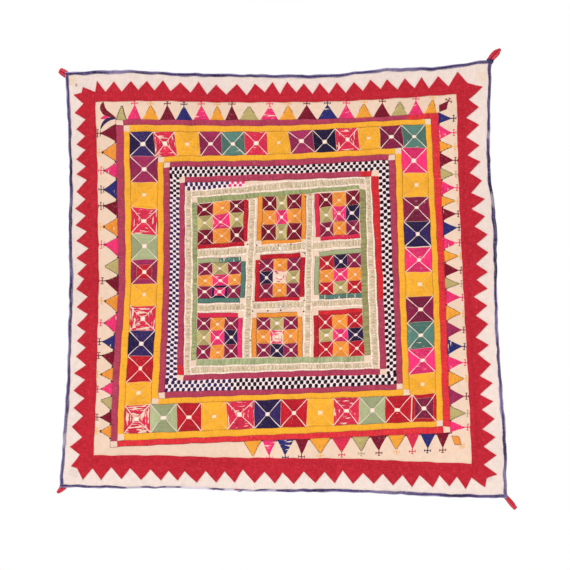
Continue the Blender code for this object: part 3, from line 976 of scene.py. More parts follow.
def fold_binding(hem):
    """The folded strip along one edge of the square."""
    low, high = run_of(outline, hem.side)
    short = 0.0 if is_level(hem.side) else BINDING_WIDTH + GAP
    along = np.linspace(low + short, high - short, BINDING_STATIONS)
    shares = np.linspace(0.0, 1.0, BINDING_STATIONS)
    width = smooth_through(np.array(hem.widths) * MM, shares)
    width = width + hand_ripple(shares, 0.7 * MM, 117.0, 2.5, 23.0)
    ripple = hand_ripple(shares, 0.12 * MM, 190.0, 3.0, 31.0)
    front, back = GROUND_THICK + GAP, -GAP
    middle = (front + back) / 2
    shoulder = 2 * BINDING_WALL
    profile = [
        (width, front - 0.12 * MM),
        (width * 0.66, front + 0.1 * MM + ripple),
        (width * 0.36, front + ripple),
        (shoulder, front),
        (shoulder * 0.66, mixed(middle, front, 0.62)),
        (BINDING_WALL, middle),
        (shoulder * 0.66, mixed(middle, back, 0.62)),
        (shoulder, back),
        (BINDING_WIDTH, back),
    ]
    inwards, depth = (
        np.array([np.broadcast_to(row[column], width.shape) for row in profile])
        for column in (0, 1)
    )
    inwards = inwards + hand_ripple(shares, 0.5 * MM, 143.0, 2.0, 57.0)
    flat = side_places(outline, hem.side, along, -inwards)
    folded = np.stack(np.broadcast_arrays(along, inwards), axis=-1)
    piece = cut_cloth("binding_" + hem.side, folded, hang(warped(flat), depth))
    face_forwards(piece, is_folded=True)
    thicken(piece, BINDING_WALL)
    belongs(piece, binding_cotton, "edge_binding_" + hem.side)
    return piece, float(along[-1] - along[0])


bindings = {hem.side: fold_binding(hem) for hem in HEMS}
print("the bindings run", [round(length, 3) for piece, length in bindings.values()], "m")

# %% [markdown]
# ## The corner tabs
#
# At each corner a red strip is folded in two and stitched behind the cloth, so that the square can
# be tied or nailed up. Its long edges are rolled to the middle, which leaves a groove, and each tab
# was squashed its own way. The two layers lie behind the corner, and the fold is the outer end.

# %%
Tab = namedtuple("Tab", "corner root tip widths bend")
# In millimetres: where the root and the tip hang, the widths from root to tip, and the bend.
TABS = [
    Tab("top_left", (-531, -1), (-547, 9), (17, 18, 17, 14), 0),
    Tab("top_right", (499, 33), (522, 61), (15, 17, 16, 7), 2),
    Tab("bottom_left", (-538, -999), (-552, -1016), (17, 15, 12, 8), 1),
    Tab("bottom_right", (533, -1025), (561, -1055), (11, 12, 12, 10), 1),
]
TAB_ROOT_INSIDE = 10.0 * MM
TAB_LAYER_PITCH = 1.8 * MM
TAB_STATIONS = 13
TAB_HALF = 6.5 * MM
TAB_COLUMNS = 9
TAB_GROOVE = 0.7 * MM
TAB_ROUNDED_FROM = 0.8
TAB_ROUNDED_OVER = 0.2
TAB_ROUNDING = 1.6 * MM


def unit(vectors):
    """Vectors of length one that point the same way."""
    return vectors / np.linalg.norm(vectors, axis=-1, keepdims=True)


def turned(vectors):
    """Vectors turned a quarter to the left."""
    return np.stack([-vectors[..., 1], vectors[..., 0]], axis=-1)


def fold_tab(tab):
    """A folded tab behind one corner."""
    root, tip = np.array(tab.root) * MM, np.array(tab.tip) * MM
    length = np.linalg.norm(tip - root)
    heading = unit(tip - root)
    sideways = turned(heading)
    root = root - heading * TAB_ROOT_INSIDE
    widths = np.array([tab.widths[0], *tab.widths]) * MM
    nearest = -GAP - BINDING_WALL - GAP - TAB_THICK / 2
    radius = TAB_LAYER_PITCH / 2
    shares = np.linspace(0.0, 1.0, TAB_STATIONS)
    angles = np.linspace(0.0, math.pi, 7)[1:-1]
    share = np.concatenate([shares, np.ones(len(angles)), shares[::-1]])
    depth = np.concatenate([
        np.full(TAB_STATIONS, nearest),
        nearest - radius * (1 - np.cos(angles)),
        np.full(TAB_STATIONS, nearest - TAB_LAYER_PITCH),
    ])
    still = np.zeros(TAB_STATIONS)
    beyond = np.concatenate([still, radius * np.sin(angles), still])
    step = np.linspace(-1.0, 1.0, TAB_COLUMNS)
    width = smooth_through(widths, share)[:, None]
    bow = tab.bend * MM * np.sin(math.pi * share)[:, None]
    near_fold = np.clip((share[:, None] - TAB_ROUNDED_FROM) / TAB_ROUNDED_OVER, 0, 1)
    rounding = near_fold * (step**4) * TAB_ROUNDING
    spine = root + (tip - root) * share[:, None] + heading * beyond[:, None]
    plan = (
        spine[:, None, :]
        + sideways * (bow + width * step / 2)[..., None]
        - heading * rounding[..., None]
    )
    run = np.linspace(0.0, 2 * (length + TAB_ROOT_INSIDE), len(share))
    flat = np.stack(np.broadcast_arrays(TAB_HALF * step, run[:, None]), axis=-1)
    rolled = depth[:, None] - TAB_GROOVE * (1 - np.abs(np.sin(math.pi * step)))
    piece = cut_cloth("tab_" + tab.corner, flat, hang(plan, rolled))
    face_forwards(piece, is_folded=True)
    thicken(piece, TAB_THICK * 0.9, offset=0.0)
    belongs(piece, tab_cotton, "corner_tab_" + tab.corner)
    return piece, float(np.mean(tab.widths) * MM), float(run[-1])


tabs = {tab.corner: fold_tab(tab) for tab in TABS}
lengths = [round(length * 1000) for piece, width, length in tabs.values()]
print("the tabs were cut", lengths, "mm long")

# %% [markdown]
# ## Patches of stitching
#
# Satin stitches build a low cushion that is highest in its middle and dips into the cloth along
# its edge. One such cushion is modelled: a small grid, its inner points lifted ring by ring, and
# the open underside closed with one face. The long bands get a bar instead, whose cross-section is
# the same low arch, and a round stitch gets a dome. Then every patch is a copy of one of them,
# stretched to its own four corners.

# %%
Shape = namedtuple("Shape", "points corners sizes")


def finished(made):
    """Turns all faces outwards, leaves edit mode and takes the mesh as plain arrays. The object
    itself goes."""
    bpy.ops.mesh.select_all(action="SELECT")
    bpy.ops.mesh.normals_make_consistent(inside=False)
    bpy.ops.object.mode_set(mode="OBJECT")
    mesh = made.data
    shape = Shape(
        read(mesh.vertices, "co", float, 3),
        read(mesh.loops, "vertex_index", int),
        read(mesh.polygons, "loop_total", int),
    )
    bpy.data.objects.remove(made)
    bpy.data.meshes.remove(mesh)
    return shape


def cushion(columns, rows, margin, lifts):
    """A unit cushion. Its rings of points are lifted one after the other from the edge inwards, and
    the first ring lies as near to the edge as the margin says."""
    made = added(
        bpy.ops.mesh.primitive_grid_add,
        x_subdivisions=columns, y_subdivisions=rows, size=1.0, location=(0.5, 0.5, 0.0),
    )
    bpy.ops.object.transform_apply(location=True)
    bpy.ops.object.mode_set(mode="EDIT")
    bpy.ops.mesh.select_mode(type="VERT")
    bpy.ops.mesh.select_all(action="DESELECT")
    bpy.ops.mesh.select_non_manifold()
    bpy.ops.mesh.select_all(action="INVERT")
    widen = [
        (0.5 - margin) / (0.5 - 1 / count) if count > 2 else 1.0
        for count in (columns, rows)
    ]
    bpy.ops.transform.resize(value=(*widen, 1.0), center_override=(0.5, 0.5, 0.0))
    for lift in lifts:
        bpy.ops.transform.translate(value=(0.0, 0.0, lift))
        bpy.ops.mesh.select_less()
    bpy.ops.mesh.select_all(action="DESELECT")
    bpy.ops.mesh.select_non_manifold()
    bpy.ops.mesh.edge_face_add()
    return finished(made)


def bar(pieces):
    """A unit bar along y: a low arch in cross-section, cut into this many pieces."""
    arch = [(0.0, 0.0), (0.05, 0.60), (0.25, 0.95), (0.75, 0.95), (0.95, 0.60), (1.0, 0.0)]
    made = added(
        bpy.ops.mesh.primitive_cylinder_add, vertices=len(arch), radius=0.5, depth=1.0
    )
    for vert in made.data.vertices:
        turn = round(math.atan2(vert.co.x, vert.co.y) / math.tau * len(arch)) % len(arch)
        x, height = arch[turn]
        vert.co = (x, 0.0 if vert.co.z < 0 else 1.0, height)
    made.data.update()
    bpy.ops.object.mode_set(mode="EDIT")
    bpy.ops.mesh.select_mode(type="EDGE")
    bpy.ops.mesh.select_all(action="DESELECT")
    bpy.ops.object.mode_set(mode="OBJECT")
    for edge in made.data.edges:
        ends = [made.data.vertices[index].co.y for index in edge.vertices]
        edge.select = abs(ends[0] - ends[1]) > 0.5
    bpy.ops.object.mode_set(mode="EDIT")
    bpy.ops.mesh.subdivide(number_cuts=pieces - 1)
    return finished(made)


def dome():
    """A unit dome for a round stitch: the upper half of a small ball, closed underneath."""
    made = added(
        bpy.ops.mesh.primitive_uv_sphere_add, segments=8, ring_count=4,
        radius=0.5, location=(0.5, 0.5, 0.0), scale=(1.0, 1.0, 2.0),
    )
    bpy.ops.object.transform_apply(location=True, scale=True)
    bpy.ops.object.mode_set(mode="EDIT")
    bpy.ops.mesh.select_all(action="SELECT")
    bpy.ops.mesh.bisect(
        plane_co=(0.5, 0.5, 0.0), plane_no=(0.0, 0.0, 1.0), clear_inner=True, use_fill=True
    )
    return finished(made)


SATIN = cushion(8, 6, 0.05, (0.62, 0.28, 0.10))
SEED = cushion(4, 4, 0.14, (0.75, 0.25))
DOT = dome()
STITCH = cushion(2, 4, 0.1, (1.0,))
BAND = bar(64)
SHORT_BAND = bar(10)
SHAPES = {"satin": SATIN, "seed": SEED, "dot": DOT, "stitch": STITCH, "band": BAND}
for name, shape in SHAPES.items():
    print(name, "has", len(shape.points), "points and", len(shape.sizes), "faces")

# %% [markdown]
# ## Gathering patches into pieces
#
# A class keeps the patches of one kind together until its mesh is made. Each patch gets its colour,
# its wear, and its own place in the silk's pattern, so that no two look alike.

# %%
FLOSS_RISE = 0.55 * MM
FLOSS_DIP = 0.05 * MM
SMOOTH_FLOSS = math.radians(60)
PATTERN_REACH = 5.0
RANDOM_START = 2452


class Stitching:
    """Patches of floss that become one piece."""

    def __init__(self, name, rise=FLOSS_RISE, base=PANEL_FRONT - FLOSS_DIP):
        self.name = name
        self.rise = rise
        self.base = base
        self.parts = []
        self.random = np.random.default_rng(RANDOM_START + len(name))

    def add(self, shape, corners, colours, wear=0.0, to_hung=warp, rise=None, lift=0.0):
        """Copies of a shape, one to each row of four corners. The threads run from the first
        corner to the second. A lift puts them above what is already stitched."""
        corners = np.asarray(corners, float).reshape(-1, 4, 2)
        count = len(corners)
        first, second, third, fourth = np.moveaxis(corners, 1, 0)
        rising, falling = third - first, fourth - second
        turn = rising[:, 0] * falling[:, 1] - rising[:, 1] * falling[:, 0]
        mirrored = corners[:, [1, 0, 3, 2]]
        is_mirrored = (turn < 0) != (self.rise < 0)
        corners = np.where(is_mirrored[:, None, None], mirrored, corners)
        x, y, z = shape.points.T
        weights = np.stack([(1 - x) * (1 - y), x * (1 - y), x * y, (1 - x) * y])
        hung = warped(np.einsum("kn,pkc->pnc", weights, corners), to_hung)
        ends = warped(corners[:, :2], to_hung)
        depth = self.base + lift + z * (self.rise if rise is None else rise)
        space = hang(hung, np.broadcast_to(depth, hung.shape[:2]))
        middle = (ends[:, 0] + ends[:, 1]) / 2
        thread = unit(ends[:, 1] - ends[:, 0])
        offset = hung - middle[:, None]
        ways = thread, turned(thread)
        uv = np.stack([(offset * way[:, None]).sum(-1) for way in ways], axis=-1)
        uv = uv + self.random.uniform(0.0, PATTERN_REACH, (count, 1, 2))
        colours = np.broadcast_to(np.asarray(colours, float), (count, 3))
        wear = np.broadcast_to(np.asarray(wear, float), (count,))[:, None]
        dyed = np.broadcast_to(np.hstack([colours, wear])[:, None], (count, len(x), 4))
        self.parts.append((shape, space, uv, dyed))

    def make(self, material=silk_floss):
        """The gathered patches as one object."""
        points, corners, sizes, uvs, colours = [], [], [], [], []
        start = 0
        for shape, space, uv, dyed in self.parts:
            count, size = space.shape[:2]
            offsets = start + np.arange(count)[:, None] * size
            points.append(space.reshape(-1, 3))
            corners.append((shape.corners[None] + offsets).ravel())
            sizes.append(np.tile(shape.sizes, count))
            uvs.append(uv.reshape(-1, 2))
            colours.append(dyed.reshape(-1, 4))
            start += count * size
        points, corners, sizes = map(np.concatenate, (points, corners, sizes))
        mesh = bpy.data.meshes.new(self.name)
        mesh.vertices.add(len(points))
        mesh.vertices.foreach_set("co", points.ravel())
        mesh.loops.add(len(corners))
        mesh.loops.foreach_set("vertex_index", corners.astype(np.int32))
        mesh.polygons.add(len(sizes))
        starts = np.concatenate([[0], np.cumsum(sizes)[:-1]])
        mesh.polygons.foreach_set("loop_start", starts.astype(np.int32))
        mesh.polygons.foreach_set("loop_total", sizes.astype(np.int32))
        mesh.update(calc_edges=True)
        uv_map = mesh.uv_layers.new(name=FLOSS_UV)
        uv_map.data.foreach_set("uv", np.concatenate(uvs)[corners].ravel())
        dye = mesh.color_attributes.new(FLOSS_COLOUR, "FLOAT_COLOR", "POINT")
        dye.data.foreach_set("color", np.concatenate(colours).ravel())
        piece = bpy.data.objects.new(self.name, mesh)
        bpy.context.scene.collection.objects.link(piece)
        bpy.ops.object.select_all(action="DESELECT")
        piece.select_set(True)
        bpy.context.view_layer.objects.active = piece
        bpy.ops.object.shade_smooth_by_angle(angle=SMOOTH_FLOSS)
        belongs(piece, material)
        print(self.name, "has", len(sizes), "faces")
        return piece


# %% [markdown]
# ## The dye chart
#
# Each colour name stands for the floss as it looks on the cloth today.

# %%
DYES = {
    "orange": tone(239, 146, 54),
    "amber": tone(243, 160, 50),
    "yellow": tone(248, 174, 46),
    "plum_maroon": tone(138, 24, 66),
    "dark_maroon": tone(122, 6, 38),
    "wine": tone(126, 24, 62),
    "plum": tone(152, 38, 82),
    "pink": tone(236, 46, 110),
    "rose": tone(216, 40, 74),
    "rose_band": tone(176, 58, 86),
    "red": tone(222, 46, 56),
    "deep_red": tone(188, 20, 38),
    "crimson": tone(208, 36, 44),
    "sage": tone(188, 168, 108),
    "pale_sage": tone(153, 159, 107),
    "olive": tone(148, 142, 92),
    "light_green": tone(166, 172, 128),
    "teal": tone(80, 120, 108),
    "navy": tone(44, 28, 80),
    "night": tone(36, 20, 64),
    "ink": tone(26, 14, 52),
    "blue": tone(36, 38, 108),
    "cream": tone(240, 218, 200),
    "white": tone(252, 230, 232),
    "black": tone(20, 0, 20),
    "silk": tone(214, 191, 160),
    "grey": tone(84, 76, 92),
    "outline": tone(56, 42, 56),
    "seam": tone(120, 76, 44),
    "dark_seam": tone(76, 34, 46),
    "tie": tone(186, 162, 124),
    "dull": tone(160, 140, 108),
    "lavender": tone(158, 148, 186),
    # A painted glint: near-white for the bright sparkles on the lattice silk.
    "glint": tone(250, 240, 226),
    "cord": tone(250, 224, 206),
    "pale_orange": tone(240, 180, 110),
    "pale_yellow": tone(252, 206, 112),
    "star": tone(255, 234, 224),
    "pale_heart": tone(252, 222, 178),
}
print(len(DYES), "dyes")

# %% [markdown]
# ## The bands
#
# A band is stitched straight across its width. It runs along each side between the inner corners and
# leaves a small cream square of bare cloth at the corner. Where the maker ran out of one red and
# went on with another, the side is split at that share of its length.

# %%
Band = namedtuple("Band", "outer inner dye splits wear")
# The splits give a side's dyes as (share at which it ends, dye), from the low or left end.
BANDS = [
    Band("first_band", "yellow", "rose_band", {
        "top": [(0.925, "rose_band"), (1.0, "red")],
        "right": [(1.0, "red")],
        "bottom": [(1.0, "red")],
    }, 0.0),
    Band("yellow", "squares", "yellow", {}, 0.0),
    Band("inner_yellow", "rose", "yellow", {}, 0.0),
    Band("rose", "checks", "rose_band", {}, 0.02),
    Band("inner_rose", "silk", "rose_band", {
        "left": [(0.05, "crimson"), (1.0, "rose_band")],
        "top": [(0.94, "rose_band"), (1.0, "crimson")],
        "right": [(0.36, "rose_band"), (1.0, "crimson")],
    }, 0.0),
    Band("green", "field", "pale_sage", {
        "bottom": [(1.0, "light_green")],
        "right": [(1.0, "olive")],
    }, 0.12),
]


def band_corners(side, outer, inner, start, end):
    """The four flat corners of one side of a band, threads running across it."""
    low, high = run_of(inner, side)
    near, far = mixed(low, high, start), mixed(low, high, end)
    inside, outside = getattr(inner, side), getattr(outer, side)
    corners = [(near, inside), (near, outside), (far, outside), (far, inside)]
    return [placed(side, along, over) for along, over in corners]


LONG_SHARE = 0.3
bands = Stitching("band_stitching")
lattice = Stitching("lattice_stitching")
for band in BANDS:
    outer, inner = BOX[band.outer], BOX[band.inner]
    for side in SIDE_NAMES:
        start = 0.0
        for end, dye in band.splits.get(side, [(1.0, band.dye)]):
            corners = band_corners(side, outer, inner, start, end)
            shape = BAND if end - start > LONG_SHARE else SHORT_BAND
            stitching = lattice if band.outer == "green" else bands
            stitching.add(shape, corners, DYES[dye], band.wear)
            start = end
outer, inner = BOX["first_band"], BOX["yellow"]
bands.add(
    SATIN,
    [(inner.right, inner.top), (outer.right, inner.top), (outer.right, outer.top),
     (inner.right, outer.top)],
    DYES["red"],
)
band_piece = bands.make()

# %% [markdown]
# ## Squares of four petals
#
# The favourite motif is a square split by its diagonals into four triangles. Each triangle is
# filled with stitches parallel to its own side, shorter and shorter towards the middle, where a
# little bare cloth shows. The threads of the upper and lower ones run level and those of the other
# two run upright, and how each pair catches the light is painted into its colour as a painted
# sheen, one pair lighter and the other darker, the dark dyes most. Along the diagonals the petals
# leave narrow gaps, the narrowest in the pale dyes, where a pale thread lies with a small knot of
# it in the middle. No two middles sit quite right, as in any hand work.

# %%
Motif = namedtuple("Motif", "gap hole wobble")
LARGE = Motif(1.5 * MM, 5.0 * MM, 1.2 * MM)
LITTLE = Motif(1.3 * MM, 3.8 * MM, 1.0 * MM)
THIN_GAPS = {"yellow": 0.25, "orange": 0.5, "sage": 0.7, "light_green": 0.8}
HOLES = {"yellow": 0.85, "orange": 0.8}
# Painted sheen: by dye, how much lighter one pair of petals is painted and how much darker the
# other.
PAINTED_SHEENS = {
    "navy": 0.32, "night": 0.32, "yellow": 0.0, "orange": 0.03, "plum_maroon": 0.08,
    "dark_maroon": 0.08, "rose": 0.08, "deep_red": 0.1,
}
USUAL_PAINTED_SHEEN = 0.17
# How far in from the side the second dye of a two-dye square starts.
SPLITS = {"plum/deep_red": 0.5, "deep_red/wine": 0.3, "night/pink": 0.45}
CORNERS = np.array([(-1, -1), (1, -1), (1, 1), (-1, 1)])
HOLE_SIZES = (0.75, 1.15)
HOLE_SHAPE = (1.15, 0.9)
HOLE_STRAY = 0.4 * MM
PETAL_SHADES = (0.93, 1.07)
# How much of the gap is left where a petal ends inside.
INNER_GAP = 0.6
HEART_SHARE = 0.86
STAR_RISE = 0.38 * MM
# Half of a pale ray's width, as a share of the gap that it lies in.
RAY_HALF = 0.45
PALE_LINE_RISE = 0.8 * MM


def add_square(stitching, quad, name, motif, sheen=1.0, wear=0.0, to_hung=warp):
    """Four satin triangles in a quad. The painted sheen is positive where level threads are painted
    brighter.
    """
    random = stitching.random
    quad = np.asarray(quad, float)
    dyes = name.split("/")
    middle = quad.mean(axis=0) + random.normal(0.0, motif.wobble, 2)
    thin = THIN_GAPS.get(dyes[0], 1.0)
    hole = motif.hole * HOLES.get(dyes[0], 1.0) * random.uniform(*HOLE_SIZES, 2) * HOLE_SHAPE
    inner = middle + CORNERS * hole + random.normal(0.0, HOLE_STRAY, (4, 2))
    gap = motif.gap * thin * math.sqrt(0.5)
    strength = PAINTED_SHEENS.get(dyes[0], USUAL_PAINTED_SHEEN) * sheen
    if dyes[0] == "yellow":
        wear = 0.0
    cuts = [0.0, SPLITS[name], 1.0] if len(dyes) > 1 else [0.0, 1.0]
    heart = mixed(middle, inner, HEART_SHARE)
    heart_dye = "pale_heart" if dyes[0] in ("yellow", "orange") else "star"
    stitching.add(STITCH, heart, DYES[heart_dye], 0.0, to_hung, rise=STAR_RISE)
    if dyes[0] != "yellow":
        half = turned(unit(inner - quad)) * motif.gap * thin * RAY_HALF
        lines = np.stack([quad - half, quad + half, inner + half, inner - half], axis=1)
        stitching.add(STITCH, lines, DYES["star"], 0.0, to_hung, rise=STAR_RISE)
    for index in range(4):
        start, end = quad[index], quad[(index + 1) % 4]
        run = unit(end - start) * gap
        ends = inner[index], inner[(index + 1) % 4]
        # Painted sheen: one pair of petals is painted lighter and the other pair darker.
        light = 1.0 - strength if index % 2 else 1.0 + strength
        light = light * random.uniform(*PETAL_SHADES)
        for dye, (low, high) in zip(dyes, pairwise(cuts)):
            petal = [
                mixed(start, ends[0], low) + run, mixed(end, ends[1], low) - run,
                mixed(end, ends[1], high) - run * INNER_GAP,
                mixed(start, ends[0], high) + run * INNER_GAP,
            ]
            stitching.add(SATIN, petal, np.array(DYES[dye]) * light, wear, to_hung)
        if dyes[0] == "yellow":
            near, far = run * 0.4, turned(run) - run
            line = [start + near, ends[0] + near, ends[0] + far, start + far]
            stitching.add(STITCH, line, DYES["pale_yellow"], 0.0, to_hung, PALE_LINE_RISE)


SquareRow = namedtuple("SquareRow", "side sheen dyes edges_px")
# One, two or three stars mark a rubbed, a worn and a badly worn square. A stroke parts the dyes of
# a square from the outside in. The edges are where one square ends and the next one starts, going
# right or up.
# The number after the side is the row's painted sheen: positive where the level petals are painted
# lighter.
SQUARE_ROWS = [
    SquareRow("top", 1.0, "navy rose** yellow plum teal* rose* yellow plum ink rose** yellow "
              "wine teal*",
              (154.5, 176, 199.7, 221.8, 244.5, 267.3, 289.6, 313.5, 335.9, 358.8, 380, 402.5)),
    SquareRow("bottom", -1.0, "rose*** light_green deep_red yellow rose** navy deep_red yellow "
              "rose** light_green deep_red deep_red/wine",
              (150.5, 177, 201.3, 227, 254.3, 280.8, 307, 333.5, 359, 385, 411.5)),
    SquareRow("left", 0.8, "yellow deep_red navy rose*** yellow plum/deep_red light_green rose** "
              "yellow plum", (382, 356, 330.5, 306, 284, 259.6, 234.3, 208.2, 182.4)),
    SquareRow("right", -1.0, "yellow pink* teal* wine yellow pink* navy wine yellow pink",
              (373.3, 348.3, 322, 296.5, 272, 247, 221.5, 197, 173)),
]
WEAR_LEVELS = (0.02, 0.16, 0.28, 0.40)
RUBBED = WEAR_LEVELS[0]
GAP_AFTER = {("bottom", 10): 2.4 * MM, ("right", 5): 2.0 * MM}
SQUARE_SLANT = 0.7 * MM
FLAT_STATIONS = 400
squares = Stitching("square_stitching")
outer, inner = BOX["squares"], BOX["inner_yellow"]


def flat_edges(side, places_px):
    """Where these pixel columns or rows lie along the middle of a row of squares, laid flat."""
    low, high = run_of(outer, side)
    along = np.linspace(low, high, FLAT_STATIONS)
    line = np.full_like(along, (getattr(outer, side) + getattr(inner, side)) / 2)
    hung = warp(np.stack(placed(side, along, line), axis=-1))
    places = across(places_px) if is_level(side) else upwards(places_px)
    return np.interp(places, placed(side, *hung.T)[0], along)


def square_corners(side, ends, low_edge, high_edge):
    """A square's flat corners, from the lower left anticlockwise. ends holds where it starts and
    ends along its low edge and along its high edge."""
    (near, far), (high_near, high_far) = ends
    corners = [(near, low_edge), (far, low_edge), (high_far, high_edge), (high_near, high_edge)]
    first, *others = (placed(side, along, over) for along, over in corners)
    return [first, *others] if is_level(side) else [first, *reversed(others)]


for row in SQUARE_ROWS:
    low, high = run_of(outer if is_level(row.side) else inner, row.side)
    edges = np.concatenate([[low], flat_edges(row.side, np.array(row.edges_px)), [high]])
    low_edge, high_edge = sorted((getattr(inner, row.side), getattr(outer, row.side)))
    slants = squares.random.normal(0.0, SQUARE_SLANT, len(edges))
    slants[[0, -1]] = 0.0
    for index, name in enumerate(row.dyes.split()):
        near = edges[index] + GAP_AFTER.get((row.side, index - 1), 0.0) / 2
        far = edges[index + 1] - GAP_AFTER.get((row.side, index), 0.0) / 2
        ends = np.array([near, far])
        leans = slants[index:index + 2]
        quad = square_corners(row.side, (ends - leans, ends + leans), low_edge, high_edge)
        wear = WEAR_LEVELS[name.count("*")]
        add_square(squares, quad, name.rstrip("*"), LARGE, row.sheen, wear)
square_piece = squares.make()

# %% [markdown]
# ## The nine blocks
#
# Each block is three by three small squares, with a narrow frame on some of its sides. They were
# read off the photograph: a block's four corners in pixels, its inner lines as shares of its width
# and height, and a letter for the colour of each square. In the chart o is orange, m maroon, w a
# darker maroon, g green, p pink, n navy, r red, x navy with a pink heart, q a pink that is half
# worn away and c one worn to cream.

# %%
Block = namedtuple("Block", "corners_px columns rows cells frame")
LETTERS = {
    "o": "orange", "m": "plum_maroon", "w": "dark_maroon", "g": "sage", "p": "pink", "n": "night",
    "r": "deep_red", "c": "pink", "q": "pink", "x": "night/pink",
}
WEARS = {"c": 0.68, "q": 0.48, "p": 0.16}
# The corners run from the bottom left anticlockwise. The shares part the columns from the left and
# the rows from the top. A frame's two dyes part at half of its length, from the left or the
# bottom. Stars mark wear as above, and a bar marked < runs on round the corner where it starts.
BLOCKS = [
    Block(
        ((197.5, 245.3), (243.8, 241.5), (243.8, 199.5), (197.3, 204)),
        (0.338, 0.703), (0.307, 0.648), "wow gpg wow",
        {"right": "deep_red", "bottom": "deep_red"},
    ),
    Block(
        ((261.5, 240.5), (301.5, 239.3), (301.5, 193.6), (262.8, 196.4)),
        (0.362, 0.632), (0.33, 0.65), "wgw opo wgw",
        {"left": "orange", "bottom": "orange", "right": "orange"},
    ),
    Block(
        ((320.5, 236.8), (359.5, 233.5), (359.5, 190.2), (319, 193.8)),
        (0.324, 0.657), (0.33, 0.69), "wow gpn mom",
        {"left": "rose", "bottom": "rose*"},
    ),
    Block(
        ((197.5, 298.5), (240.3, 297.5), (241.3, 261.5), (198, 263.5)),
        (0.331, 0.697), (0.341, 0.644), "mgm opo mxm",
        {"top": "light_green* teal**", "right": "teal", "bottom": "teal*"},
    ),
    Block(
        ((259.3, 297.5), (299.5, 296.7), (300.3, 257.4), (260.5, 259.8)),
        (0.334, 0.674), (0.32, 0.64), "mom ncg mom",
        {"left": "deep_red", "bottom": "<deep_red", "right": "deep_red", "top": "deep_red"},
    ),
    Block(
        ((318.8, 295), (361.8, 292.8), (361.5, 252.5), (319.5, 256.5)),
        (0.343, 0.673), (0.36, 0.68), "rnm opo rgr",
        {"left": "light_green", "top": "light_green", "bottom": "teal**"},
    ),
    Block(
        ((196, 359.5), (237, 357.8), (238, 317.5), (197.5, 317.5)),
        (0.337, 0.675), (0.305, 0.668), "mom gpn mom",
        {"top": "rose", "right": "pink"},
    ),
    Block(
        ((256.5, 357), (298, 357), (297.5, 316.5), (256.5, 317.8)),
        (0.333, 0.66), (0.316, 0.655), "mgm oqo mnm",
        {"left": "orange", "top": "orange", "right": "orange"},
    ),
    Block(
        ((318.5, 357), (364.5, 356), (362, 312.8), (318.5, 315.5)),
        (0.313, 0.659), (0.338, 0.646), "ror gpn ror",
        {"top": "crimson", "left": "deep_red"},
    ),
]
FRAME_WIDTH = 4.6 * PIXEL
FRAME_SIDES = {"bottom": (0, 1), "right": (1, 2), "top": (3, 2), "left": (0, 3)}
CELL_STRAY = 0.7 * MM
blocks = Stitching("block_stitching")
frame_edges = []


def spread(corners, columns, rows):
    """The places of a block's inner lines, as a grid of rows from the top and columns."""
    low_left, low_right, high_right, high_left = corners
    return np.array([
        [mixed(mixed(high_left, high_right, u), mixed(low_left, low_right, u), v) for u in columns]
        for v in rows
    ])


def add_frame(corners, side, dyes):
    """A frame bar outside one side of a block, in one or two dyes."""
    start, end = (corners[index] for index in FRAME_SIDES[side])
    out = (start + end) / 2 - corners.mean(axis=0)
    along = unit(end - start)
    if dyes[0].startswith("<"):
        start = start - along * FRAME_WIDTH
    out = unit(out - along * (out @ along)) * FRAME_WIDTH
    cuts = np.linspace(0.0, 1.0, len(dyes) + 1)
    for dye, (low, high) in zip(dyes, pairwise(cuts)):
        near, far = mixed(start, end, low), mixed(start, end, high)
        wear = WEAR_LEVELS[dye.count("*")]
        quad = [near, near + out, far + out, far]
        blocks.add(SHORT_BAND, quad, DYES[dye.strip("<*")], wear, None)
    frame_edges.append((start + out, end + out))
    frame_edges.append((start, end))


for block in BLOCKS:
    corners = np.array([spot(*place) for place in block.corners_px])
    for side, dyes in block.frame.items():
        add_frame(corners, side, dyes.split())
    grid = spread(corners, (0.0, *block.columns, 1.0), (0.0, *block.rows, 1.0))
    grid[1:-1, 1:-1] += blocks.random.normal(0.0, CELL_STRAY, (2, 2, 2))
    for row, letters in enumerate(block.cells.split()):
        for column, letter in enumerate(letters):
            quad = [*grid[row + 1, column:column + 2], *grid[row, column:column + 2][::-1]]
            wear = WEARS.get(letter, RUBBED)
            # The blocks' petals get the painted sheen reversed, their level petals painted darker.
            add_square(blocks, quad, LETTERS[letter], LITTLE, -1.0, wear, None)
block_piece = blocks.make()

# %% [markdown]
# ## The check band
#
# Three rows of tiny squares go all the way round, dark and light in turn. Counted stitches sit
# proud like seeds, so each is a small cushion of its own, and the dark ones are round dots that
# swell over the light ones beside them. The squares grow a little from one end of a side to the
# other. Most are black on white, and down the left they are navy.

# %%
# How long a check is in pixels at the start of each side, and at its end.
CHECKS_PX = {"top": (2.5, 3.1), "bottom": (2.7, 3.0), "left": (2.65, 2.5), "right": (3.0, 3.1)}
DARK_SIZE = np.array([[1.46], [1.26]])
DARK_STRAY = 0.25 * MM
LIGHT_RISE = 0.35 * MM
NAVY_UNTIL = {"left": 0.9, "bottom": 0.28}
checks = Stitching("check_stitching", rise=0.7 * MM)


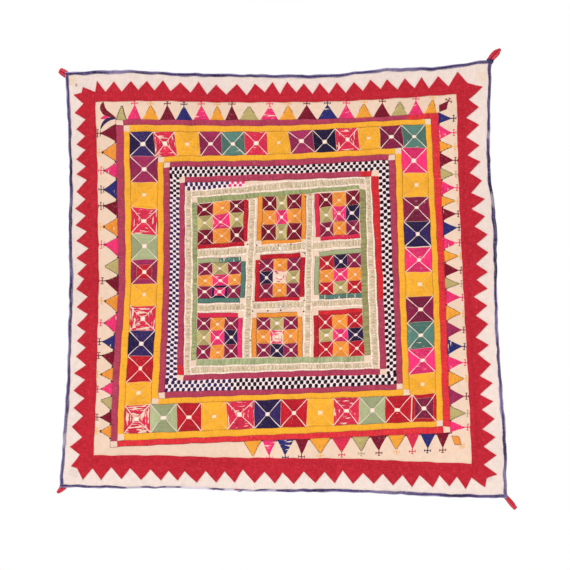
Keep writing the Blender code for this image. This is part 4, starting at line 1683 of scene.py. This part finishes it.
def add_checks(quad, first_px, last_px, rows, dyes_at):
    """Rows of checks in a flat quad whose first edge runs along them. dyes_at gives the dark and
    the light dye at a share of the way along."""
    start, end, far_end, far_start = np.asarray(quad, float)
    mean = (first_px + last_px) / 2
    count = round(np.linalg.norm(end - start) / (mean * PIXEL))
    shares = np.linspace(0.0, 1.0, count + 1)
    shares = (first_px * shares + (last_px - first_px) * shares**2 / 2) / mean
    for row in range(rows):
        edge, far_edge = (
            (mixed(start, far_start, share), mixed(end, far_end, share))
            for share in (row / rows, (row + 1) / rows)
        )
        for index, (near, far) in enumerate(pairwise(shares)):
            corners = np.array([
                mixed(*edge, near), mixed(*edge, far), mixed(*far_edge, far), mixed(*far_edge, near)
            ])
            dark, light = dyes_at((near + far) / 2)
            if (index + row) % 2:
                checks.add(SEED, corners, DYES[light], 0.0, rise=LIGHT_RISE)
            else:
                middle = corners.mean(axis=0) + checks.random.normal(0.0, DARK_STRAY, 2)
                reach = np.array([corners[1] - corners[0], corners[3] - corners[0]]) / 2
                reach = reach * DARK_SIZE * checks.random.uniform(0.9, 1.08)
                checks.add(DOT, middle + CORNERS @ reach, DYES[dark], 0.0)


def checks_in(dark, until, further):
    """Checks on white whose dark dye changes at a share of the way along."""
    return lambda share: (dark if share < until else further, "white")


outer, inner = BOX["checks"], BOX["inner_rose"]
for side, (first_px, last_px) in CHECKS_PX.items():
    near, far = getattr(outer, side), getattr(inner, side)
    low, high = run_of(outer if is_level(side) else inner, side)
    corners = ((low, near), (high, near), (high, far), (low, far))
    quad = [placed(side, along, over) for along, over in corners]
    dyes_at = checks_in("navy", NAVY_UNTIL.get(side, 0.0), "black")
    add_checks(quad, first_px, last_px, 3, dyes_at)

# At the top left, two more rows fill the wedge above the slanting silk: navy, then pink.
Place = namedtuple("Place", "along share")
# How far up between the green ring and the band above it the silk's edge runs.
SILK_TOP = [Place(0.0, 0.44), Place(0.32, 0.62), Place(0.48, 0.9), Place(1.0, 0.96)]
WEDGE_END = 0.32
WEDGE_CHECK_PX = 2.7
silk_box, green_box = BOX["silk"], BOX["green"]


def silk_top_edge(u):
    """The silk's upper edge above the flat place u, as a flat point."""
    along = (u - silk_box.left) / (silk_box.right - silk_box.left)
    share = np.interp(along, *zip(*SILK_TOP))
    return u, mixed(green_box.top, silk_box.top, share)


wedge_end = mixed(silk_box.left, silk_box.right, WEDGE_END)
add_checks(
    [(silk_box.left, silk_box.top), (wedge_end, silk_box.top), silk_top_edge(wedge_end),
     silk_top_edge(silk_box.left)],
    WEDGE_CHECK_PX, WEDGE_CHECK_PX, 2, checks_in("navy", 0.72, "pink"),
)
check_piece = checks.make()

# %% [markdown]
# ## Pennants
#
# Along the outside of the first band stands a row of little pennants, each ending in a small
# cross. They were read off the photograph in pixels: where each pennant ends, going right or down,
# and how far its tip is from the middle. Their sides flare towards the band. The pale ones are
# outlined in dark thread, and dark knots sit where two of them meet.

# %%
Pennants = namedtuple("Pennants", "side start_px dyes ends_px reach_px leans")
PENNANT_ROWS = [
    Pennants("top", 116.5, "sage pink amber maroon blue pink amber maroon sage pink** amber maroon "
             "blue pink amber maroon sage pink amber",
             (127, 142, 159.5, 175.5, 193, 210, 225, 239, 260, 279, 296.5, 317, 338, 355, 373,
              391, 408, 423.5, 437), (14, 13.5), {8: -0.5, 18: 2.5}),
    Pennants("left", 124, "maroon orange pink blue maroon orange pink sage maroon orange pink blue "
             "maroon orange pink sage maroon orange",
             (142.5, 162, 179, 200, 217, 237, 257.5, 275.5, 294, 312.5, 333.5, 350.5, 367, 381.5,
              396, 410, 424, 438), (15.5, 13, 12.5, 14, 14, 13, 12.5, 12, 12, 11.5, 11, 11),
             {4: -2.5, 6: -2.5, 8: -4, 9: -2.5, 12: -3, 15: -3}),
    Pennants("right", 112, "blue pink amber maroon sage pink amber maroon blue pink amber maroon "
             "sage pink amber plum blue pink amber plum sage pink",
             (124.5, 140.5, 152.5, 168, 180.5, 195.5, 207, 221, 236.5, 249.5, 262.5, 277.5, 289.5,
              305, 321.5, 338.5, 355, 370.5, 387, 405.5, 420.5, 433), (12.5, 15), {8: -1}),
    Pennants("bottom", 244, "amber pink** blue** maroon amber rose sage maroon amber rose blue "
             "maroon",
             (262, 276.5, 294.5, 309, 331, 352, 370, 387.5, 405.5, 419.5, 435.5, 449.5), (15, 14),
             {}),
]
OUTWARDS = {"left": (-1, 0), "right": (1, 0), "bottom": (0, -1), "top": (0, 1)}
UNIT_SQUARE = [(0, 0), (1, 0), (1, 1), (0, 1)]
DASH_COVERS = (0.8, 1.0)
pennants = Stitching("pennant_stitching", rise=0.7 * MM)
threads = Stitching("thread_stitching", rise=0.8 * MM)


def add_thread(start, end, dye, width, lift=0.0, stitching=threads):
    """One straight stitch of thread between two hung places."""
    side = turned(unit(end - start)) * width / 2
    quad = [start - side, start + side, end + side, end - side]
    stitching.add(STITCH, quad, DYES[dye], 0.0, None, lift=lift)


def dashes(start, end, dye, length, width):
    """A line of stitches between two hung places, of which the thread covers most."""
    count = max(1, round(np.linalg.norm(end - start) / length))
    for index in range(count):
        reach = threads.random.uniform(*DASH_COVERS)
        near, far = (mixed(start, end, share / count) for share in (index, index + reach))
        add_thread(near, far, dye, width)


# The strokes of a cross beyond a pennant's tip, in pixels: out from the tip, and sideways.
Stroke = namedtuple("Stroke", "out side out_end side_end width")
CROSS = [
    Stroke(-0.8, 0.0, 5.0, 0.0, 2.5 * MM),
    Stroke(2.6, -3.0, 2.6, 3.0, 2.5 * MM),
    Stroke(1.2, -3.0, 4.0, -3.0, 2.1 * MM),
    Stroke(1.2, 3.0, 4.0, 3.0, 2.1 * MM),
    Stroke(5.0, -1.5, 5.0, 1.5, 2.1 * MM),
]
CROSS_LENGTHS = {"top": 0.75, "left": 1.3, "right": 0.9, "bottom": 1.0}
CROSS_DYES = {
    "plum": "dark_maroon", "blue": "navy", "amber": "pale_orange", "orange": "pale_orange",
    "sage": "tie",
}
# Down the left the upper crosses have two bars.
DOUBLE_CROSS = [
    Stroke(-0.8, 0.0, 5.4, 0.0, 2.2 * MM),
    Stroke(0.4, -3.4, 0.4, 3.4, 2.0 * MM),
    Stroke(3.1, -4.2, 3.1, 4.2, 2.2 * MM),
    Stroke(1.9, -3.6, 4.3, -3.6, 1.6 * MM),
    Stroke(1.9, 3.6, 4.3, 3.6, 1.6 * MM),
    Stroke(5.4, -1.6, 5.4, 1.6, 1.9 * MM),
]
KNOT_TURNS = (0.4, 1.45, 2.5)


def add_cross(tip, out, dye, length=1.0, strokes=CROSS):
    """A small cross with serifs beyond a pennant's tip."""
    side = turned(out)
    for stroke in strokes:
        start = tip + (out * stroke.out * length + side * stroke.side) * PIXEL
        end = tip + (out * stroke.out_end * length + side * stroke.side_end) * PIXEL
        add_thread(start, end, dye, stroke.width)


def add_knot(middle, reach_px, dye="black"):
    """A few short stitches across one another."""
    for turn in KNOT_TURNS:
        turn = turn + threads.random.normal(0.0, 0.2)
        reach = np.array([math.cos(turn), math.sin(turn)]) * reach_px * PIXEL
        add_thread(middle - reach, middle + reach, dye, 1.7 * MM, 0.25 * MM)


FLARES = {"top": 1.0, "left": 1.08, "right": 1.08, "bottom": 1.0}
RIM_STATIONS = 5
DOUBLE_CROSSES = 8
OUTLINES = {
    "sage": ("outline", 2.0 * MM), "amber": ("outline", 1.8 * MM), "orange": ("outline", 1.8 * MM),
}
PENNANT_DYES = {"maroon": "dark_maroon"}
PENNANT_WEARS = {"pink": 0.17, "blue": 0.17}


def add_pennant(first, second, tip, flare, dye, wear):
    """A triangle of satin stitches whose sides flare towards the band."""
    base = (first + second) / 2

    def shape(plan):
        """Takes the unit square to the pennant."""
        sideways, up = plan[:, :1] - 0.5, plan[:, 1:]
        width = (1.0 - up) ** flare * 0.94 + 0.06 * (1.0 - up * 0.2)
        return mixed(base, tip, up) + (second - first) * sideways * width

    pennants.add(SATIN, UNIT_SQUARE, DYES[dye], wear, shape)
    ups = np.linspace(0.0, 1.0, RIM_STATIONS)
    rim = shape(np.array([(side, up) for side in (0.0, 1.0) for up in ups]))
    return rim[:RIM_STATIONS], rim[RIM_STATIONS:]


for row in PENNANT_ROWS:
    side = RING_SIDES["first_band"][row.side]
    metres = across if is_level(row.side) else upwards
    starts = (row.start_px, *row.ends_px[:-1])
    out = np.array(OUTWARDS[row.side], float)
    for index, (name, start_px, end_px) in enumerate(zip(row.dyes.split(), starts, row.ends_px)):
        dye = name.rstrip("*")
        dye = PENNANT_DYES.get(dye, dye)
        middle_px = (start_px + end_px) / 2 + row.leans.get(index, 0.0)
        reach = smooth_through(row.reach_px, np.array([index / (len(starts) - 1)]))[0] * PIXEL
        places = side.at(side.share_of(metres(np.array([start_px, end_px, middle_px]))))
        first, second, middle = places
        tip = middle + out * reach
        under = out * 0.6 * PIXEL
        wear = PENNANT_WEARS.get(dye, 0.08) + 0.15 * (name.count("*") > 0)
        flanks = add_pennant(first - under, second - under, tip, FLARES[row.side], dye, wear)
        outline_dye, width = OUTLINES.get(dye, ("seam", 1.0 * MM))
        if row.side == "top" and index == 0:
            outline_dye, width = "ink", 3.2 * MM
        if dye in OUTLINES or row.side == "left":
            # Along the top only the tips are outlined, but for the first pennant.
            start_at = 2 if row.side == "top" and index else 0
            for flank in flanks:
                for start, end in pairwise(flank[start_at:]):
                    dashes(start, end, outline_dye, 6.0 * MM, width)
        if row.side != "top":
            add_knot(second + out * 0.7 * PIXEL, 0.85 if row.side == "left" else 0.65, "outline")
        if dye != "sage" or row.side in ("bottom", "right"):
            is_double = row.side == "left" and index < DOUBLE_CROSSES
            cross = (1.0, DOUBLE_CROSS) if is_double else (CROSS_LENGTHS[row.side], CROSS)
            add_cross(tip, out, CROSS_DYES.get(dye, dye), *cross)
            if row.side == "left":
                add_knot(tip - out * 0.6 * PIXEL, 1.4 if dye == "orange" else 0.9)
print("pennants:", sum(len(row.ends_px) for row in PENNANT_ROWS))

# %% [markdown]
# ## Corner motifs
#
# At the top left a curled leaf in maroon, pink and navy turns the corner, and small diamonds stand
# at two other corners. Each is a ribbon along a spine: a few points, with the width at each.

# %%
Leaf = namedtuple("Leaf", "dye spine_px widths_px")
LEAVES = [
    Leaf(
        "dark_maroon",
        ((103.2, 102.2), (102.3, 107.0), (105.2, 112.6), (110.5, 115.4), (116.3, 118.4)),
        (0.6, 4.8, 6.0, 4.2, 0.6),
    ),
    Leaf(
        "navy",
        ((116.3, 119.0), (110.5, 119.0), (106.0, 121.2), (102.6, 125.2), (100.4, 129.4)),
        (0.6, 3.2, 3.8, 2.3, 0.5),
    ),
    Leaf("pink", ((101.0, 119.0), (104.5, 117.6), (108.6, 117.2)), (0.8, 3.6, 2.0)),
]
Diamond = namedtuple("Diamond", "dye corners_px")
DIAMONDS = [
    Diamond("dark_maroon", ((439.2, 111.8), (446.4, 109.2), (447.8, 101.2), (439.0, 105.2))),
    Diamond("orange", ((454.4, 444.6), (461.2, 444.8), (458.6, 436.2), (451.2, 436.2))),
]


def add_leaf(leaf):
    """A ribbon of satin stitches along a spine."""
    spine = np.array([spot(*place) for place in leaf.spine_px])
    steps = np.linspace(0.0, 1.0, 13)
    line = np.stack([smooth_through(spine[:, axis], steps) for axis in (0, 1)], axis=-1)
    width = smooth_through(np.array(leaf.widths_px), steps) * PIXEL
    side = turned(unit(np.gradient(line, axis=0))) * (width / 2)[:, None]

    def follow(plan):
        """Takes the unit square to the ribbon."""
        edges = [
            np.stack([np.interp(plan[:, 1], steps, edge[:, axis]) for axis in (0, 1)], axis=-1)
            for edge in (line + side, line - side)
        ]
        return mixed(*edges, plan[:, :1])

    pennants.add(SATIN, UNIT_SQUARE, DYES[leaf.dye], 0.05, follow)


for leaf in LEAVES:
    add_leaf(leaf)
for diamond in DIAMONDS:
    corners = [spot(*place) for place in diamond.corners_px]
    pennants.add(SATIN, corners, DYES[diamond.dye], 0.05, None)
    for start, end in pairwise([*corners, corners[0]]):
        dashes(start, end, "outline", 5.0 * MM, 1.5 * MM)
add_cross(spot(447.5, 103.0), np.array([0.45, 0.89]), "dark_maroon")
add_cross(spot(460.0, 444.0), np.array([0.7, -0.7]), "pale_orange")
pennant_piece = pennants.make()

# %% [markdown]
# ## The lattice silk
#
# The pale lattice bands are worn silk, edged on both sides with a cream cord. Short stitches cross
# each band like rungs, some darker than the silk and some near-white ones that are painted glints,
# and many are missing.

# %%
CORD_SHARE = 0.19
Layer = namedtuple("Layer", "low high dye wear rise")
SILK_LAYERS = [
    Layer(0.0, CORD_SHARE, "cord", 0.0, 0.6 * MM),
    Layer(CORD_SHARE, 1.0 - CORD_SHARE, "silk", 0.16, 0.35 * MM),
    Layer(1.0 - CORD_SHARE, 1.0, "cord", 0.0, 0.6 * MM),
]
RUNG_PITCH = 3.6 * MM
RUNGS_KEPT = 0.86
# The near-white rungs are painted glints.
RUNG_DYES = ("tie", "tie", "glint", "dull", "glint")


def add_silk(quad):
    """A band of silk between two cords, in a flat quad whose first edge crosses it."""
    first, second, third, fourth = np.asarray(quad, float)
    for layer in SILK_LAYERS:
        corners = [
            mixed(first, second, layer.low), mixed(first, second, layer.high),
            mixed(fourth, third, layer.high), mixed(fourth, third, layer.low),
        ]
        lattice.add(BAND, corners, DYES[layer.dye], layer.wear, rise=layer.rise)
    count = round(np.linalg.norm(fourth - first) / RUNG_PITCH)
    draws = lattice.random.uniform(0.0, 1.0, (count, 4))
    for index, (jitter, low, high, pick) in enumerate(draws):
        if pick > RUNGS_KEPT:
            continue
        along = min((index + jitter) / count, 1.0)
        low, high = 0.24 + 0.2 * low, 0.76 - 0.2 * high
        start, end = warp(np.array([
            mixed(mixed(first, fourth, along), mixed(second, third, along), share)
            for share in (low, high)
        ]))
        dye = RUNG_DYES[int(pick / RUNGS_KEPT * len(RUNG_DYES))]
        add_thread(start, end, dye, 1.5 * MM, 0.1 * MM)


for left, right in ((1, 2), (3, 4)):
    left, right = UPRIGHT_FLATS[left], UPRIGHT_FLATS[right]
    bottom, top = LEVEL_FLATS[0], LEVEL_FLATS[-1]
    add_silk([(left, bottom), (right, bottom), (right, top), (left, top)])
for bottom, top in ((1, 2), (3, 4)):
    bottom, top = LEVEL_FLATS[bottom], LEVEL_FLATS[top]
    for left, right in ((0, 1), (2, 3), (4, 5)):
        left, right = UPRIGHT_FLATS[left], UPRIGHT_FLATS[right]
        add_silk([(left, top), (left, bottom), (right, bottom), (right, top)])
for side in ("left", "right"):
    outside, inside = getattr(silk_box, side), getattr(green_box, side)
    low = silk_box.bottom
    add_silk([(outside, low), (inside, low), silk_top_edge(inside), silk_top_edge(outside)])
add_silk([
    (green_box.left, silk_box.bottom), (green_box.left, green_box.bottom),
    (green_box.right, green_box.bottom), (green_box.right, silk_box.bottom),
])
bends = [mixed(silk_box.left, silk_box.right, place.along) for place in SILK_TOP[1:-1]]
bends = [green_box.left, *bends, green_box.right]
for near, far in pairwise(bends):
    add_silk([silk_top_edge(near), (near, green_box.top), (far, green_box.top), silk_top_edge(far)])
lattice_piece = lattice.make(ribbed_silk)

# %% [markdown]
# ## Seams and knots
#
# Brown back stitches follow the rings and the block frames, where the maker drew the lines in
# thread first, and a few dark knots end the threads.

# %%
SEAM_DYES = {
    "first_band": "dark_seam", "yellow": "seam", "squares": "seam", "inner_yellow": "seam",
    "rose": "seam", "checks": "dark_seam", "silk": "dark_seam",
}
for ring, dye in SEAM_DYES.items():
    for side in SIDE_NAMES:
        line = RING_SIDES[ring][side].at(SIDE_STATIONS)
        for start, end in pairwise(line):
            dashes(start, end, dye, 5.0 * MM, 1.0 * MM)
for start, end in frame_edges:
    dashes(start, end, "dark_seam", 4.0 * MM, 1.1 * MM)
KNOTS_PX = [
    (256.3, 245.2), (253.5, 302), (252.3, 311.2), (304, 311.2), (305, 196.5), (247.5, 244.5),
    (278.5, 245), (291, 244), (268, 310.6), (281, 310.4), (305, 253.5), (304, 300.5), (250.5, 340),
]
for px, py in KNOTS_PX:
    add_knot(spot(px, py), 0.8)
# Grey threads turn the cream corners of the middle block.
CORNER_THREADS_PX = [
    ((305, 253), (301.5, 252.6)), ((305, 253), (305.2, 256.6)),
    ((304.4, 301), (300.6, 301.2)), ((304.4, 301), (304.8, 297)),
]
for start_px, end_px in CORNER_THREADS_PX:
    dashes(spot(*start_px), spot(*end_px), "grey", 4.0 * MM, 1.3 * MM)

# At the top right corner, where the tab was tied, navy thread is wound round the binding.
Wrap = namedtuple("Wrap", "start_px end_px dye width")
WRAPS = [
    Wrap((486.6, 59.4), (493.6, 60.6), "navy", 3.0 * MM),
    Wrap((487.0, 60.4), (493.4, 61.9), "navy", 3.0 * MM),
    Wrap((488.2, 61.4), (492.8, 63.2), "navy", 3.0 * MM),
    Wrap((489.8, 62.2), (491.9, 64.4), "navy", 2.6 * MM),
    Wrap((490.2, 61.6), (491.4, 63.0), "lavender", 1.6 * MM),
    Wrap((487.6, 60.2), (489.4, 60.8), "lavender", 1.2 * MM),
]
for index, wrap in enumerate(WRAPS):
    start, end = spot(*wrap.start_px), spot(*wrap.end_px)
    add_thread(start, end, wrap.dye, wrap.width, (0.15 * index - 0.7) * MM)

# %% [markdown]
# ## Mirrors
#
# Here and there a little disc of mirror glass is held down by a ring of stitches. On this piece
# they are tiny and half hidden. Each is a flattened ball, because the glass was blown and is never
# quite flat, so its dome always finds the lamp. One is modelled, the others are copies.

# %%
Mirror = namedtuple("Mirror", "px py radius_px")
MIRRORS = [
    Mirror(271.6, 249.6, 1.0), Mirror(280.4, 249.0, 1.9), Mirror(249.2, 286.4, 1.1),
    Mirror(281.0, 307.0, 1.2), Mirror(290.0, 306.6, 1.0), Mirror(248.8, 298.8, 1.1),
]
MIRROR_HEIGHT = 0.5 * MM
MIRROR_STITCHES = 9
MIRROR_STITCH_REACH = 0.7 * PIXEL
glass = Shader("mirror_glass")
specks = glass.noise(glass.place(), 900.0)
mirror_glass = glass.finish(
    specks, 0.03 * MM, Base_Color=glass.shade(tone(246, 242, 236), 0.88 + specks * 0.2),
    Roughness=0.16 + specks * 0.16, Metallic=0.25,
)
pattern = added(bpy.ops.mesh.primitive_uv_sphere_add, segments=20, ring_count=10, radius=1.0)
bpy.ops.object.mode_set(mode="EDIT")
bpy.ops.mesh.select_all(action="SELECT")
bpy.ops.transform.rotate(value=math.radians(90), orient_axis="X", center_override=(0.0, 0.0, 0.0))
bpy.ops.transform.resize(value=(1.0, 0.3, 1.0), center_override=(0.0, 0.0, 0.0))
bpy.ops.object.mode_set(mode="OBJECT")
bpy.ops.object.shade_smooth()
for index, mirror in enumerate(MIRRORS):
    middle = spot(mirror.px, mirror.py)
    radius = mirror.radius_px * PIXEL
    disc = pattern.data.copy()
    place = hang(middle, PANEL_FRONT + MIRROR_HEIGHT)
    points = read(disc.vertices, "co", float, 3) * radius + place
    disc.vertices.foreach_set("co", points.ravel())
    disc.update()
    piece = bpy.data.objects.new("mirror_" + str(index + 1), disc)
    bpy.context.scene.collection.objects.link(piece)
    belongs(piece, mirror_glass)
    for turn in np.linspace(0.0, math.tau, MIRROR_STITCHES, endpoint=False) + index:
        heading = np.array([math.cos(turn), math.sin(turn)])
        start = middle + heading * radius * 0.8
        end = middle + heading * (radius + MIRROR_STITCH_REACH)
        add_thread(start, end, "tie", 1.3 * MM, 0.5 * MM)
bpy.data.objects.remove(pattern)
thread_piece = threads.make()
print(len(MIRRORS), "mirrors")

# %% [markdown]
# ## Running stitches
#
# The red strips and the panel are sewn down with small running stitches. They go through to the
# back, which is otherwise plain, so they are made once for each face. On the front they hold the
# strips' inner edges in red thread, and on the back the same lines show, with the lines of the
# first band and the binding.

# %%
HemLine = namedtuple("HemLine", "ring dye inset is_seen")
HEM_LINES = [
    HemLine("outline", "navy", 5.0 * MM, False),
    HemLine("opening", "deep_red", -2.5 * MM, True),
    HemLine("opening", "deep_red", -26.0 * MM, False),
    HemLine("first_band", "cream", 0.0, False),
    HemLine("squares", "cream", 0.0, False),
    HemLine("checks", "cream", 0.0, False),
]
front_stitches = Stitching(
    "front_running_stitches", rise=0.35 * MM, base=STRIP_ON_PANEL + STRIP_THICK - 0.25 * MM
)
back_stitches = Stitching("back_running_stitches", rise=-0.35 * MM, base=0.05 * MM)


def hem_places(line, side, stitches=150):
    """Hung places along one side of a ring, this far inside it."""
    low, high = run_of(BOX[line.ring], side)
    along = np.linspace(low + line.inset, high - line.inset, stitches)
    return warp(side_places(BOX[line.ring], side, along, -line.inset))


for line in HEM_LINES:
    for side in SIDE_NAMES:
        places = hem_places(line, side)
        for start, end in zip(places[:-1:2], places[1::2]):
            add_thread(start, end, line.dye, 0.9 * MM, 0.0, back_stitches)
            if line.is_seen:
                add_thread(start, end, line.dye, 0.8 * MM, 0.0, front_stitches)
front_stitches.make()
back_stitch_piece = back_stitches.make()

# %% [markdown]
# ## Room and light
#
# The photograph has a white background and soft light with hardly a shadow. A pale room lights the
# cloth from all round at half strength and is shown white behind it. A wide soft sun from the upper
# left gives the other half, so that every cushion of silk has a bright and a dim side, and a second
# one lights the back. The floor lies far enough below to stay out of the picture.

# %%
FLOOR_LEVEL = -2.4
ROOM_LIGHT = 0.5
SUN_ANGLE = math.radians(24)
floor = added(bpy.ops.mesh.primitive_plane_add, size=7.0, location=(0.0, 0.0, FLOOR_LEVEL))
floor.name = "floor"
paint = Shader("floor_paint")
paint.finish(
    paint.noise(paint.place(), 60.0), 0.2 * MM, Base_Color=(0.88, 0.87, 0.86, 1.0), Roughness=0.7
)
floor.data.materials.append(paint.material)

world = bpy.data.worlds.new("pale_room")
bpy.context.scene.world = world
world.use_nodes = True
background = world.node_tree.nodes["Background"]
background.inputs["Color"].default_value = (1.0, 1.0, 1.0, 1.0)
path = world.node_tree.nodes.new("ShaderNodeLightPath")
strength = world.node_tree.nodes.new("ShaderNodeMapRange")
strength.inputs["To Min"].default_value = ROOM_LIGHT
strength.inputs["To Max"].default_value = 1.0
world.node_tree.links.new(path.outputs["Is Camera Ray"], strength.inputs["Value"])
world.node_tree.links.new(strength.outputs["Result"], background.inputs["Strength"])

Sun = namedtuple("Sun", "name energy tilt turn")
for sun in (Sun("front_sun", 2.2, 48, -38), Sun("back_sun", 1.8, 50, 148)):
    lamp = added(
        bpy.ops.object.light_add, type="SUN", location=(0.0, 0.0, 1.5),
        rotation=(math.radians(sun.tilt), 0.0, math.radians(sun.turn)),
    )
    lamp.name = sun.name
    lamp.data.energy = sun.energy
    lamp.data.angle = SUN_ANGLE
print("two soft suns and a pale room")

# %% [markdown]
# ## The cloth's cut sizes
#
# The flat sizes of the ground cloth and the panel, and the areas of the strips, are worked out
# below, but nothing is done with them.

# %%
outline.right - outline.left - 2 * CLOTH_INSET
outline.top - outline.bottom - 2 * CLOTH_INSET
opening.right - opening.left + 2 * RIM
opening.top - opening.bottom + 2 * RIM
for piece, length, width, mean_depth in strips.values():
    length * mean_depth
